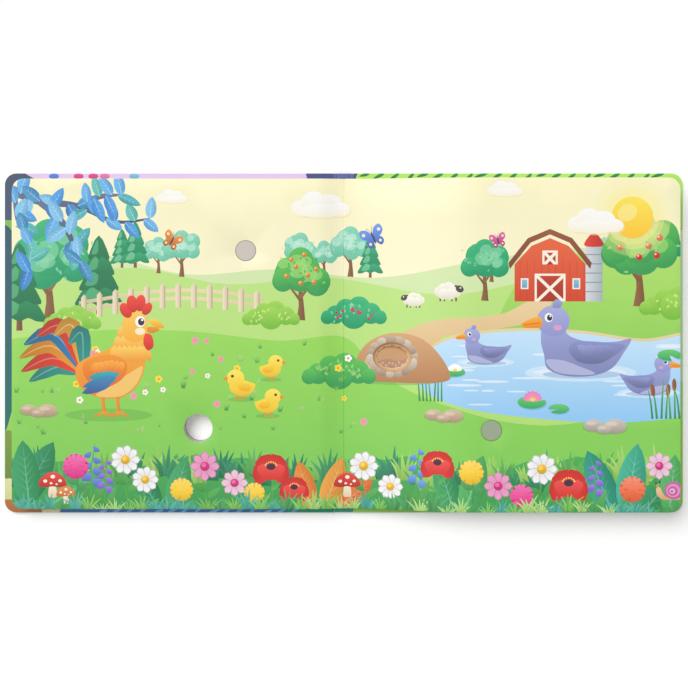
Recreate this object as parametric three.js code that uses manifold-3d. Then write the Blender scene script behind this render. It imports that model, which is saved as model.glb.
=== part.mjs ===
// A board sound book, lying open on its two covers at a spread about a quarter of the way through.
// Millimetres. X runs across both pages with 0 at the gutter, Y towards the head, Z up from the table.
import * as THREE from "three";
import { mergeVertices } from "three/addons/utils/BufferGeometryUtils.js";
import Module from "manifold-3d";

const wasm = await Module();
wasm.setup();

// Covers and pages
const coverWidth = 207;
const coverHeight = 207;
const coverBoard = 2.5;
const cornerRadius = 7;
const foreEdgeSquare = 6.5;
const headSquare = 3.75;
const leaf = 2.45;
const leftLeaves = 3;
const rightLeaves = 2;
const seat = 0.3;
const gutterGap = 0.4;
const edgeGroove = 0.3;
const edgeGrooveDepth = 0.7;

// The curve of the open pages down into the gutter
const leftCurve = 16;
const rightCurve = 80;

// Spine strip
const spineWidth = 12;
const spineBoard = 1.7;
const spineLift = 0.5;

// Sound block, the thick leaf that holds the sound module
const blockHeight = 11.6;
const blockStart = 22;

// Holes and buttons, placed from the gutter and the middle of the height.
// In the closed book the peep hole lies over the right button.
const peepHole = { x: -88, y: -51, radius: 8.75 };
const pondWindow = { x: 29.2, y: -7.8, length: 19.5, width: 14 };
const leftButton = { x: -59.3, y: 56.3 };
const rightButton = { x: -peepHole.x, y: peepHole.y };
const buttonRadius = 6.1;
const buttonClearance = 0.3;
const buttonTravel = 0.4;
const buttonPocket = 4.6;
const domeRadius = 4;
const domeHeight = 0.7;
const domeCrown = 0.25;
const domeHem = 0.2;
const domeBend = 0.1;
const domeShoulder = 0.6;
const domeShoulderRise = 0.45;
const film = 0.2;
const filmWidth = 7;
const filmRoom = 0.2;

// Sound module. Its length and width follow from what is packed into it.
const blockRim = 17.5;
const filmInset = 5.5;
const moduleHeight = 12.2;
const moduleLift = 0.4;
const moduleCorner = 3;
const moduleRoom = 1.4;
const caseWall = 1.5;
const lidBoard = 0.9;
const flange = 4;
const flangeBoard = 1;
const gutterFilmInset = 14;
const topFilmReach = 6;
const topFilmGrooveReach = 1;

// Button cells, their well and its door
const cellRadius = 5.8;
const cellHeight = 5.4;
const cellPitch = 12.4;
const cells = 3;
const cellRim = 0.6;
const wellInset = 6;
const wellWall = 1.2;
const contact = 0.3;
const contactWidth = 5;
const contactReach = 3;
const contactRoom = 0.1;
const doorScrewReach = 7;
const screwHeadRadius = 2.1;
const screwShankRadius = 1;
const screwDepth = 3.2;
const screwSlot = 0.6;
const screwRoom = 0.2;
const screwSunk = 0.1;
const doorRoom = 0.1;
const bossRadius = 2.4;
const bossWall = 1.2;

// Speaker and its grille
const speakerRadius = 13;
const speakerHeight = 4.2;
const basket = { lip: 2, rim: 1, shoulder: 1.6, shoulderRise: 1.2, seat: 1.5, hole: 2, metal: 0.7 };
const basketInside = { seat: 1.1, step: 2.2, rise: 0.9 };
const cone = { crown: 1.3, cap: 3, capRise: 1.5, paper: 0.4 };
const coneHem = { step: 2.8, width: 0.5, rise: 0.2, paper: 0.3 };
const magnetRadius = 6.5;
const magnetHeight = 2.6;
const magnetRoom = 0.2;
const grilleHoleRadius = 1;
const grillePitch = 3.6;
const grilleRings = 2;

// Circuit board and its parts
const boardLength = 31;
const boardThickness = 1;
const boardRoom = 0.2;
const postRadius = 1.3;
const postHeight = 5;
const postInset = 0.6;
const chipPlace = { x: -4, y: 2 };
const chipRoom = 0.1;
const chipRadius = 3.4;
const chipHeight = 1.3;
const chipShoulder = { out: 0.85, rise: 0.6 };
const chipCrown = { out: 0.5, rise: 0.92 };

// Power switch
const switchTravel = 3;
const sliderLength = 4;
const sliderWidth = 3.4;
const switchLength = 13;
const switchWidth = 7;
const switchHeight = 3.4;
const switchRoof = 1;
const switchRoom = 0.2;
const sliderRoof = 2;

// Wires
const wireRadius = 0.45;
const wireRoom = 0.1;

// How far a cut runs past the face that it opens, and how far one solid reaches into the next to join it
const past = 1;
const joint = 0.1;

const white = "#f4f1e6";
const finishes = {
  cover: { color: "#b9d98a", roughness: 0.45 },
  paper: { color: white, roughness: 0.5 },
  board: { color: "#d9d2c3", roughness: 0.85 },
  cloth: { color: "#f1ecdd", roughness: 0.6 },
  plastic: { color: "#e9e9e6", roughness: 0.4 },
  button: { color: "#d1c9bd", roughness: 0.5 },
  metal: { color: "#c9cbce", roughness: 0.3, metalness: 1 },
  magnet: { color: "#6b6c70", roughness: 0.4, metalness: 1 },
  cone: { color: "#2b2a28", roughness: 0.8 },
  laminate: { color: "#2f6b46", roughness: 0.5 },
  resin: { color: "#141414", roughness: 0.3 },
  film: { color: "#d6c9a8", roughness: 0.4 },
  dark: { color: "#303234", roughness: 0.5 },
  redWire: { color: "#c0262b", roughness: 0.5 },
  blackWire: { color: "#1b1b1c", roughness: 0.5 },
};

const book = new THREE.Group();

// Turns a closed three.js geometry into a solid that can be joined and cut.
function solid(geometry) {
  const plain = geometry.index ? geometry.toNonIndexed() : geometry.clone();
  for (const name of Object.keys(plain.attributes)) {
    if (name !== "position") plain.deleteAttribute(name);
  }
  const merged = mergeVertices(plain, 1e-4);
  return new wasm.Manifold(
    new wasm.Mesh({
      numProp: 3,
      vertProperties: new Float32Array(merged.attributes.position.array),
      triVerts: new Uint32Array(merged.index.array),
    }),
  );
}

// Names a solid, gives it its material and adds it to the book.
function place(name, body, finish) {
  const { vertProperties, triVerts } = body.getMesh();
  const geometry = new THREE.BufferGeometry();
  geometry.setAttribute("position", new THREE.BufferAttribute(vertProperties, 3));
  geometry.setIndex(new THREE.BufferAttribute(triVerts, 1));
  geometry.computeVertexNormals();
  const mesh = new THREE.Mesh(geometry, new THREE.MeshStandardMaterial(finishes[finish]));
  mesh.name = name;
  book.add(mesh);
}

function block(x0, x1, y0, y1, z0, z1) {
  const geometry = new THREE.BoxGeometry(x1 - x0, y1 - y0, z1 - z0);
  return solid(geometry.translate((x0 + x1) / 2, (y0 + y1) / 2, (z0 + z1) / 2));
}

function disc(x, y, z0, z1, radius, sides = 32) {
  const geometry = new THREE.CylinderGeometry(radius, radius, z1 - z0, sides);
  return solid(geometry.rotateX(Math.PI / 2).translate(x, y, (z0 + z1) / 2));
}

// A turned shape from its closed profile of [radius, height] points.
function turned(x, y, profile, sides = 32) {
  const points = profile.map(([r, z]) => new THREE.Vector2(r, z));
  return solid(new THREE.LatheGeometry(points, sides).rotateX(Math.PI / 2).translate(x, y, 0));
}

// A flat sheet of any outline between two heights.
function sheet(shape, z0, z1) {
  const geometry = new THREE.ExtrudeGeometry(shape, {
    depth: z1 - z0,
    bevelEnabled: false,
    curveSegments: 6,
  });
  return solid(geometry.translate(0, 0, z0));
}

// Half of the open book seen from above: square at the gutter, round at the fore-edge corners.
function halfOutline(side, inner, outer, halfHeight, radius) {
  const shape = new THREE.Shape();
  shape.moveTo(side * inner, -halfHeight);
  shape.lineTo(side * (outer - radius), -halfHeight);
  const tail = side > 0 ? [-Math.PI / 2, 0] : [-Math.PI / 2, -Math.PI];
  shape.absarc(side * (outer - radius), radius - halfHeight, radius, ...tail, side < 0);
  const head = side > 0 ? [0, Math.PI / 2] : [Math.PI, Math.PI / 2];
  shape.absarc(side * (outer - radius), halfHeight - radius, radius, ...head, side < 0);
  shape.lineTo(side * inner, halfHeight);
  return shape;
}

function roundedOutline(x, y, length, width, radius) {
  const shape = new THREE.Shape();
  const [left, right, low, high] = [x - length / 2, x + length / 2, y - width / 2, y + width / 2];
  shape.moveTo(left + radius, low);
  shape.lineTo(right - radius, low);
  shape.absarc(right - radius, low + radius, radius, -Math.PI / 2, 0, false);
  shape.absarc(right - radius, high - radius, radius, 0, Math.PI / 2, false);
  shape.absarc(left + radius, high - radius, radius, Math.PI / 2, Math.PI, false);
  shape.absarc(left + radius, low + radius, radius, Math.PI, Math.PI * 1.5, false);
  return shape;
}

// Heights of the open book, from the table up
const innerFace = coverBoard + seat;
const leftTop = innerFace + leftLeaves * leaf;
const blockTop = innerFace + blockHeight;
const rightTop = blockTop + seat + rightLeaves * leaf;
const rightStack = rightLeaves * leaf;
const gutterTop = innerFace + rightStack + film + filmRoom;
const pageWidth = coverWidth - foreEdgeSquare;
const pageHalf = coverHeight / 2 - headSquare;
const coverHalf = coverHeight / 2;

// How far up the curve from the gutter a page is, from 0 to 1.
function rise(distance, length) {
  return distance >= length ? 1 : 0.5 - 0.5 * Math.cos((Math.PI * distance) / length);
}

const leftSurface = (x) => gutterTop + (leftTop - gutterTop) * rise(Math.abs(x), leftCurve);
const rightSurface = (x) => gutterTop + (rightTop - gutterTop) * rise(x, rightCurve);

// A stack of leaves: the band between two curves, from the gutter to the fore-edge.
function curvedBand(side, inner, outer, curveLength, lower, upper) {
  const steps = Math.round(6 + curveLength / 8);
  const stations = [];
  for (let i = 0; i <= steps; i += 1) {
    stations.push(side * (inner + ((curveLength - inner) * i) / steps));
  }
  stations.push(side * outer);
  const shape = new THREE.Shape();
  shape.moveTo(stations[0], lower(stations[0]));
  for (const x of stations.slice(1)) shape.lineTo(x, lower(x));
  for (const x of stations.slice().reverse()) shape.lineTo(x, upper(x));
  const depth = coverHeight;
  const geometry = new THREE.ExtrudeGeometry(shape, { depth, bevelEnabled: false });
  return solid(geometry.rotateX(Math.PI / 2).translate(0, depth / 2, 0));
}

// Cuts the fine steps that show where one leaf ends and the next begins.
function edgeGrooves(side, inner, curveLength, boundaries) {
  const rim = edgeGrooveDepth;
  const core = sheet(
    halfOutline(side, inner - past, pageWidth - rim, pageHalf - rim, cornerRadius - rim),
    0,
    rightTop + past,
  );
  return boundaries.map((height) => {
    const lower = (x) => height(x) - edgeGroove / 2;
    const upper = (x) => height(x) + edgeGroove / 2;
    return curvedBand(side, inner, coverWidth, curveLength, lower, upper).subtract(core);
  });
}

// A sound button's stack of film, dome and plug, from the floor of its pocket up.
function buttonStack(spot, floor, top) {
  const filmTop = floor + filmRoom + film;
  const domeFoot = filmTop + filmRoom / 2;
  const domeTop = domeFoot + domeHeight;
  const plugFoot = domeTop + buttonTravel + filmRoom / 2;
  const dome = turned(spot.x, spot.y, [
    [0, domeTop - domeCrown],
    [domeRadius * domeShoulder, domeFoot + domeHeight * domeShoulderRise],
    [domeRadius, domeFoot],
    [domeRadius, domeFoot + domeHem],
    [domeRadius * domeShoulder, domeTop - domeBend],
    [0, domeTop],
  ]);
  const plug = disc(spot.x, spot.y, plugFoot, top, buttonRadius, 40);
  return { dome, plug, filmBottom: floor + filmRoom, filmTop };
}

// The module's size from its contents: the speaker beside the board, the cell well below both
const wellLength = (cells - 1) * cellPitch + 2 * cellRadius + 2 * seat;
const wellWidth = 2 * cellRadius + 2 * seat;
const moduleLength = 2 * caseWall + 2 * speakerRadius + boardLength + 3 * moduleRoom;
const moduleWidth = 2 * (caseWall + wellWall + speakerRadius) + wellWidth + 3 * moduleRoom;
const moduleX = pageWidth - blockRim - moduleLength / 2;
const moduleY = rightButton.y + moduleWidth / 2 - filmInset;
const moduleLeft = moduleX - moduleLength / 2 + caseWall;
const moduleRight = moduleX + moduleLength / 2 - caseWall;
const moduleLow = moduleY - moduleWidth / 2 + caseWall;
const moduleHigh = moduleY + moduleWidth / 2 - caseWall;

// Covers: two boards wrapped in printed paper, with the back one cut out for the sound module
const hingeEdge = spineWidth / 2;
const coverCut = {
  length: moduleLength + 2 * seat,
  width: moduleWidth + 2 * seat,
};
const peepShaft = disc(peepHole.x, peepHole.y, -past, leftTop + past, peepHole.radius, 48);
const frontOutline = halfOutline(-1, hingeEdge, coverWidth, coverHalf, cornerRadius);
place("front_cover", sheet(frontOutline, 0, coverBoard).subtract(peepShaft), "cover");
const backOutline = halfOutline(1, hingeEdge, coverWidth, coverHalf, cornerRadius);
const coverWindow = roundedOutline(moduleX, moduleY, coverCut.length, coverCut.width, moduleCorner);
place(
  "back_cover",
  sheet(backOutline, 0, coverBoard).subtract(sheet(coverWindow, -past, coverBoard + past)),
  "cover",
);
place(
  "spine",
  block(
    seat - hingeEdge,
    hingeEdge - seat,
    -coverHalf,
    coverHalf,
    spineLift,
    spineLift + spineBoard,
  ),
  "cloth",
);

// Left pages: three leaves glued back to back and turned over onto the front cover
const gutterEdge = gutterGap / 2;
const leftFloor = leftTop - buttonPocket;
const leftStack = buttonStack(leftButton, leftFloor, leftTop);
const leftGrooves = edgeGrooves(-1, gutterEdge, leftCurve, [
  (x) => innerFace + (leftSurface(x) - innerFace) / leftLeaves,
  (x) => innerFace + ((leftSurface(x) - innerFace) * (leftLeaves - 1)) / leftLeaves,
]);
const pocketRadius = buttonRadius + buttonClearance;
const filmTunnel = block(
  leftButton.x,
  1,
  leftButton.y - filmWidth / 2 - filmRoom,
  leftButton.y + filmWidth / 2 + filmRoom,
  leftFloor,
  leftFloor + film + 2 * filmRoom,
);
let leftPages = curvedBand(-1, gutterEdge, coverWidth, leftCurve, () => innerFace, leftSurface)
  .intersect(sheet(halfOutline(-1, gutterEdge, pageWidth, pageHalf, cornerRadius), 0, rightTop + past))
  .subtract(peepShaft)
  .subtract(disc(leftButton.x, leftButton.y, leftFloor, leftTop + past, pocketRadius, 40))
  .subtract(filmTunnel);
for (const groove of leftGrooves) leftPages = leftPages.subtract(groove);
place("left_pages", leftPages, "paper");
place(
  "left_switch_film",
  disc(leftButton.x, leftButton.y, leftStack.filmBottom, leftStack.filmTop, buttonRadius).add(
    block(
      leftButton.x,
      -gutterEdge - seat,
      leftButton.y - filmWidth / 2,
      leftButton.y + filmWidth / 2,
      leftStack.filmBottom,
      leftStack.filmTop,
    ),
  ),
  "film",
);
place("left_switch_dome", leftStack.dome, "metal");
place("left_sound_button", leftStack.plug, "button");

// Right pages: two leaves that curve up out of the gutter onto the sound block
const rightUnderside = (x) => rightSurface(x) - rightStack;
const windowCut = new THREE.Shape();
windowCut.absellipse(pondWindow.x, pondWindow.y, pondWindow.length / 2, pondWindow.width / 2, 0, 2 * Math.PI);
const pondFloor = rightSurface(pondWindow.x) - leaf;
let rightPages = curvedBand(1, gutterEdge, coverWidth, rightCurve, rightUnderside, rightSurface)
  .intersect(sheet(halfOutline(1, gutterEdge, pageWidth, pageHalf, cornerRadius), 0, rightTop + past))
  .subtract(disc(rightButton.x, rightButton.y, blockTop - past, rightTop + past, pocketRadius, 40))
  .subtract(sheet(windowCut, pondFloor, rightTop + past));
for (const groove of edgeGrooves(1, gutterEdge, rightCurve, [(x) => rightSurface(x) - leaf])) {
  rightPages = rightPages.subtract(groove);
}
place("right_pages", rightPages, "paper");

// Sound block: a thick board frame under the right pages, open through its middle for the module
const blockSurface = (x) => rightUnderside(x) - seat;
const rebate = roundedOutline(
  moduleX,
  moduleY,
  coverCut.length + 2 * flange,
  coverCut.width + 2 * flange,
  moduleCorner,
);
const moduleEdge = moduleX - moduleLength / 2;
const topFilmFloor = blockTop - film - 2 * filmRoom;
const topFilmGroove = block(
  rightButton.x - filmWidth,
  moduleEdge + topFilmGrooveReach,
  rightButton.y - filmWidth / 2 - filmRoom,
  rightButton.y + filmWidth / 2 + filmRoom,
  topFilmFloor,
  blockTop + past,
).add(disc(rightButton.x, rightButton.y, topFilmFloor, blockTop + past, pocketRadius, 40));
// The film from the left button crosses the gutter, then lies in a groove under the block.
const gutterFilmTurn = moduleEdge - flange - gutterFilmInset;
const gutterFilmEnd = moduleY + moduleWidth / 4;
function gutterFilm(room, z0, z1) {
  const half = filmWidth / 2 + room;
  return block(
    hingeEdge + seat,
    gutterFilmTurn + half,
    leftButton.y - half,
    leftButton.y + half,
    z0,
    z1,
  )
    .add(
      block(
        gutterFilmTurn - half,
        gutterFilmTurn + half,
        gutterFilmEnd - half,
        leftButton.y + half,
        z0,
        z1,
      ),
    )
    .add(
      block(
        gutterFilmTurn - half,
        moduleEdge - flange - seat,
        gutterFilmEnd - half,
        gutterFilmEnd + half,
        z0,
        z1,
      ),
    );
}
place(
  "sound_block",
  curvedBand(1, blockStart, coverWidth, rightCurve, () => innerFace, blockSurface)
    .intersect(sheet(halfOutline(1, blockStart, pageWidth, pageHalf, cornerRadius), 0, rightTop + past))
    .subtract(sheet(coverWindow, 0, rightTop))
    .subtract(sheet(rebate, 0, innerFace + flangeBoard + seat))
    .subtract(topFilmGroove)
    .subtract(gutterFilm(filmRoom, 0, innerFace + film + filmRoom)),
  "board",
);
place("gutter_film", gutterFilm(0, innerFace, innerFace + film), "film");

const rightStackUp = buttonStack(rightButton, topFilmFloor, rightTop);
place(
  "right_switch_film",
  disc(
    rightButton.x,
    rightButton.y,
    rightStackUp.filmBottom,
    rightStackUp.filmTop,
    buttonRadius,
  ).add(
    block(
      rightButton.x,
      moduleEdge + topFilmReach,
      rightButton.y - filmWidth / 2,
      rightButton.y + filmWidth / 2,
      rightStackUp.filmBottom,
      rightStackUp.filmTop,
    ),
  ),
  "film",
);
place("right_switch_dome", rightStackUp.dome, "metal");
place("right_sound_button", rightStackUp.plug, "button");

// Sound module: a plastic tray whose face shows in the back cover, with a battery well inside
const floorTop = moduleLift + caseWall;
const caseTop = moduleLift + moduleHeight;
const wellCentreX = moduleLeft + wellInset + wellWall + wellLength / 2;
const wellCentreY = moduleLow + moduleRoom + wellWall + wellWidth / 2;
const cellFoot = floorTop + contact + 2 * contactRoom;
const cellTop = cellFoot + cellHeight;
const wellTop = cellTop + contact + 2 * contactRoom;
const doorLength = wellLength + 2 * wellWall + doorScrewReach;
const doorWidth = wellWidth + 2 * wellWall;
const doorX = wellCentreX + doorScrewReach / 2;
const screwX = wellCentreX + wellLength / 2 + wellWall + doorScrewReach / 2;
const doorSeat = caseWall / 2;
const bossTop = floorTop + screwDepth + seat + bossWall;

function around(x, y, length, width, z0, z1) {
  return block(x - length / 2, x + length / 2, y - width / 2, y + width / 2, z0, z1);
}

const speakerCentreX = moduleLeft + moduleRoom + speakerRadius;
const speakerCentreY = moduleHigh - moduleRoom - speakerRadius;
const boardWidth = 2 * speakerRadius - moduleRoom;
const boardCentreX = moduleRight - moduleRoom - boardLength / 2;
const boardCentreY = moduleHigh - moduleRoom - boardWidth / 2;
const switchCentreX = moduleRight - moduleRoom - switchLength / 2 - 2 * postRadius;
const switchCentreY = boardCentreY;
const postTop = floorTop + postHeight;

// The module's outline, grown or shrunk by a margin.
function moduleOutline(margin) {
  return roundedOutline(
    moduleX,
    moduleY,
    moduleLength + 2 * margin,
    moduleWidth + 2 * margin,
    moduleCorner + Math.min(0, margin),
  );
}

let tray = sheet(moduleOutline(0), moduleLift, caseTop)
  .add(sheet(moduleOutline(flange), innerFace, innerFace + flangeBoard))
  .subtract(sheet(moduleOutline(-caseWall), floorTop, caseTop + past));
tray = tray
  .add(
    around(
      wellCentreX,
      wellCentreY,
      wellLength + 2 * wellWall,
      wellWidth + 2 * wellWall,
      floorTop - joint,
      wellTop + wellWall,
    ),
  )
  .subtract(around(wellCentreX, wellCentreY, wellLength, wellWidth, moduleLift - past, wellTop))
  .add(disc(screwX, wellCentreY, floorTop - joint, bossTop, bossRadius, 24))
  .subtract(around(doorX, wellCentreY, doorLength + 2 * seat, doorWidth, moduleLift - past, floorTop - doorSeat))
  .subtract(disc(screwX, wellCentreY, moduleLift - past, bossTop - bossWall, screwShankRadius + screwRoom, 20));
for (const [dx, dy] of [
  [-1, -1],
  [1, -1],
  [1, 1],
  [-1, 1],
]) {
  const x = boardCentreX + dx * (boardLength / 2 - postRadius - postInset);
  const y = boardCentreY + dy * (boardWidth / 2 - postRadius - postInset);
  tray = tray.add(disc(x, y, floorTop - joint, postTop, postRadius, 16));
}
for (let ring = 0; ring <= grilleRings; ring += 1) {
  const holes = Math.max(1, 6 * ring);
  for (let i = 0; i < holes; i += 1) {
    const turn = (2 * Math.PI * i) / holes;
    const x = speakerCentreX + ring * grillePitch * Math.cos(turn);
    const y = speakerCentreY + ring * grillePitch * Math.sin(turn);
    tray = tray.subtract(disc(x, y, moduleLift - past, floorTop + past, grilleHoleRadius, 12));
  }
}
const slotLength = sliderLength + switchTravel + 2 * seat;
tray = tray.subtract(
  around(
    switchCentreX,
    switchCentreY,
    slotLength,
    sliderWidth + 2 * seat,
    moduleLift - past,
    floorTop + past,
  ),
);
place("module_case", tray, "plastic");
place("module_lid", sheet(moduleOutline(0), caseTop + seat, caseTop + seat + lidBoard), "plastic");

// Battery door, let into the face and held by one screw
const doorTop = floorTop - doorSeat - doorRoom;
place(
  "battery_door",
  around(doorX, wellCentreY, doorLength, doorWidth - 2 * seat, moduleLift, doorTop)
    .add(
      around(
        wellCentreX,
        wellCentreY,
        wellLength - 2 * seat,
        wellWidth - 2 * seat,
        moduleLift,
        floorTop,
      ),
    )
    .subtract(disc(screwX, wellCentreY, moduleLift - past, doorTop + past, screwHeadRadius + screwRoom, 24)),
  "plastic",
);
place(
  "door_screw",
  disc(screwX, wellCentreY, moduleLift + screwSunk, doorTop, screwHeadRadius, 24)
    .add(disc(screwX, wellCentreY, doorTop - joint, floorTop + screwDepth, screwShankRadius, 20))
    .subtract(around(screwX, wellCentreY, 4 * screwSlot, screwSlot, 0, moduleLift + screwSlot))
    .subtract(around(screwX, wellCentreY, screwSlot, 4 * screwSlot, 0, moduleLift + screwSlot)),
  "metal",
);

// Button cells in a row, joined by contact strips above and below
const cellX = (index) => wellCentreX + (index - (cells - 1) / 2) * cellPitch;
for (let i = 0; i < cells; i += 1) {
  const shoulder = cellTop - cellRim;
  place(
    `cell_${i + 1}`,
    disc(cellX(i), wellCentreY, cellFoot, shoulder, cellRadius, 32).add(
      disc(cellX(i), wellCentreY, shoulder - joint, cellTop, cellRadius - cellRim, 32),
    ),
    "metal",
  );
}
function strip(name, from, to, foot) {
  place(
    name,
    block(
      from,
      to,
      wellCentreY - contactWidth / 2,
      wellCentreY + contactWidth / 2,
      foot,
      foot + contact,
    ),
    "metal",
  );
}
strip("contact_top_link", cellX(0) - contactReach, cellX(1) + contactReach, cellTop + contactRoom);
strip("contact_door_link", cellX(1) - contactReach, cellX(2) + contactReach, floorTop + contactRoom);
strip("contact_plus", cellX(2) - contactReach, cellX(2) + contactReach, cellTop + contactRoom);
strip("contact_minus", cellX(0) - contactReach, cellX(0) + contactReach, floorTop + contactRoom);

// Speaker: a pressed frame over the grille, its paper cone and the magnet behind
const speakerFoot = floorTop + seat;
const speakerTop = speakerFoot + speakerHeight;
place(
  "speaker_frame",
  turned(speakerCentreX, speakerCentreY, [
    [speakerRadius - basket.lip, speakerFoot],
    [speakerRadius, speakerFoot],
    [speakerRadius, speakerFoot + basket.rim],
    [speakerRadius - basket.shoulder, speakerFoot + basket.shoulderRise],
    [magnetRadius + basket.seat, speakerTop],
    [basket.hole, speakerTop],
    [basket.hole, speakerTop - basket.metal],
    [magnetRadius + basketInside.seat, speakerTop - basket.metal],
    [speakerRadius - basketInside.step, speakerFoot + basketInside.rise],
    [speakerRadius - basket.lip, speakerFoot],
  ]),
  "metal",
);
place(
  "speaker_cone",
  turned(speakerCentreX, speakerCentreY, [
    [0, speakerFoot + cone.crown],
    [cone.cap, speakerFoot + cone.capRise],
    [speakerRadius - coneHem.step, speakerFoot + coneHem.rise],
    [speakerRadius - coneHem.step + coneHem.width, speakerFoot + coneHem.rise],
    [speakerRadius - coneHem.step + cone.paper, speakerFoot + coneHem.rise + coneHem.paper],
    [cone.cap, speakerFoot + cone.capRise + cone.paper],
    [0, speakerFoot + cone.crown + cone.paper],
  ]),
  "cone",
);
place(
  "speaker_magnet",
  disc(
    speakerCentreX,
    speakerCentreY,
    speakerTop + magnetRoom,
    speakerTop + magnetRoom + magnetHeight,
    magnetRadius,
  ),
  "magnet",
);

// Circuit board on four posts, with the sound chip under its blob of resin
const boardFoot = postTop + boardRoom;
const boardTop = boardFoot + boardThickness;
const chipFoot = boardTop + chipRoom;
place(
  "circuit_board",
  around(boardCentreX, boardCentreY, boardLength, boardWidth, boardFoot, boardTop),
  "laminate",
);
place(
  "sound_chip",
  turned(
    boardCentreX + chipPlace.x,
    boardCentreY + chipPlace.y,
    [
      [0, chipFoot],
      [chipRadius, chipFoot],
      [chipRadius * chipShoulder.out, chipFoot + chipHeight * chipShoulder.rise],
      [chipRadius * chipCrown.out, chipFoot + chipHeight * chipCrown.rise],
      [0, chipFoot + chipHeight],
    ],
    24,
  ),
  "resin",
);

// Power switch: the slider's thumb piece lies in a slot in the face
const housingFoot = floorTop + switchRoom;
const sliderX = switchCentreX - switchTravel / 2;
const thumbTop = housingFoot + switchRoom;
place(
  "switch_housing",
  around(
    switchCentreX,
    switchCentreY,
    switchLength,
    switchWidth,
    housingFoot,
    housingFoot + switchHeight,
  ).subtract(
    around(
      switchCentreX,
      switchCentreY,
      slotLength,
      sliderWidth + 2 * seat,
      housingFoot - past,
      housingFoot + switchHeight - switchRoof,
    ),
  ),
  "metal",
);
place(
  "switch_slider",
  around(
    sliderX,
    switchCentreY,
    sliderLength,
    sliderWidth,
    moduleLift + switchRoom,
    thumbTop + switchHeight - sliderRoof,
  ),
  "dark",
);

// Wires, held inside the module between the board and what it feeds
function wire(name, points, finish) {
  const path = new THREE.CatmullRomCurve3(points.map(([x, y, z]) => new THREE.Vector3(x, y, z)));
  const section = new THREE.Shape();
  section.absarc(0, 0, wireRadius, 0, 2 * Math.PI, false);
  const geometry = new THREE.ExtrudeGeometry(section, {
    steps: 16,
    extrudePath: path,
    curveSegments: 4,
  });
  place(name, solid(geometry), finish);
}
const wireHeight = boardTop + wireRoom + wireRadius;
for (const [name, offset, finish] of [
  ["speaker_wire_red", 1.2, "redWire"],
  ["speaker_wire_black", -1.2, "blackWire"],
]) {
  wire(
    name,
    [
      [boardCentreX - boardLength / 2 + 3, boardCentreY - 4 + offset, wireHeight],
      [boardCentreX - boardLength / 2 - 1, boardCentreY - 4 + offset, wireHeight + 0.5],
      [speakerCentreX + magnetRadius + 2.6, speakerCentreY - 3 + offset, speakerTop + 1.2],
      [speakerCentreX + magnetRadius + 1.2, speakerCentreY - 3 + offset, speakerTop + 0.7],
    ],
    finish,
  );
}
for (const [name, offset, finish] of [
  ["battery_wire_red", 3, "redWire"],
  ["battery_wire_black", 5.4, "blackWire"],
]) {
  wire(
    name,
    [
      [boardCentreX + offset, boardCentreY - boardWidth / 2 + 4, wireHeight],
      [boardCentreX + offset, boardCentreY - boardWidth / 2 + 1, wireHeight + 0.8],
      [boardCentreX + offset - 4, wellCentreY + wellWidth / 2 - 1, wellTop + wellWall + 0.9],
      [boardCentreX + offset - 8, wellCentreY + 2, wellTop + wellWall + 0.3 + wireRadius],
    ],
    finish,
  );
}

export default book;
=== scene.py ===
"""A board sound book that lies open at a spread: print, board, plastic and metal on the solid parts."""

import math
import random

import bpy
import numpy as np
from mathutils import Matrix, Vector
from mathutils.geometry import delaunay_2d_cdt


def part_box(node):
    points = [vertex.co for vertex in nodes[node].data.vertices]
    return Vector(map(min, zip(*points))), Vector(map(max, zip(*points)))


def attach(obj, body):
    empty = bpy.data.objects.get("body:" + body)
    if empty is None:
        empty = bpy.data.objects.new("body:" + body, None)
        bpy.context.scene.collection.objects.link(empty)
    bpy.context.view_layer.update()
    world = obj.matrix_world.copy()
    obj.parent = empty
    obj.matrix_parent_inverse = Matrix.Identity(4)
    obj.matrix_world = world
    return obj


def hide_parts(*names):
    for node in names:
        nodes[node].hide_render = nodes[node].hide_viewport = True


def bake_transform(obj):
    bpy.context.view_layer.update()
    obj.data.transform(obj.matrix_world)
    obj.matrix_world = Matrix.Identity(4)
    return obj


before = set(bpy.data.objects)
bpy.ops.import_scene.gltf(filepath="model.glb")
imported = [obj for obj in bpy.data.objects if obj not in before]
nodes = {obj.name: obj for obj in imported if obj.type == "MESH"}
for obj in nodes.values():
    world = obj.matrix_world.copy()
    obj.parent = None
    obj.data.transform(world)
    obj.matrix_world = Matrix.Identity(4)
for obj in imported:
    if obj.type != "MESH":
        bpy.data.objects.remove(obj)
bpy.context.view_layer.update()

# The studio table and the camera over it. The book lies on plain white card, seen from straight above,
# in soft light from the upper left. None of this is part of the book.
mm = 0.001
camera_height = 700 * mm
camera_forward = 52.5 * mm
sensor = 36
focal_length = 59.74
shift_across = 0.0003
shift_down = -0.1265
lamp_place = Vector((-1.15, 1.25, 2.40))
lamp_spread = math.radians(38)
lamp_strength = 2.18
sky_light = 0.38
card_drop = 0.1 * mm
card_side = 6
card_white = 0.93
card_glow = 0.125


def set_down(name, data):
    """Puts a mesh, lamp or camera into the scene, at the origin."""
    made = bpy.data.objects.new(name, data)
    bpy.context.scene.collection.objects.link(made)
    return made


def ink(code):
    """A screen colour code as the linear red, green and blue that the renderer counts in."""
    screen = np.array([int(code[i : i + 2], 16) for i in (1, 3, 5)]) / 255
    return np.where(screen <= 0.04045, screen / 12.92, ((screen + 0.055) / 1.055) ** 2.4)


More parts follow.
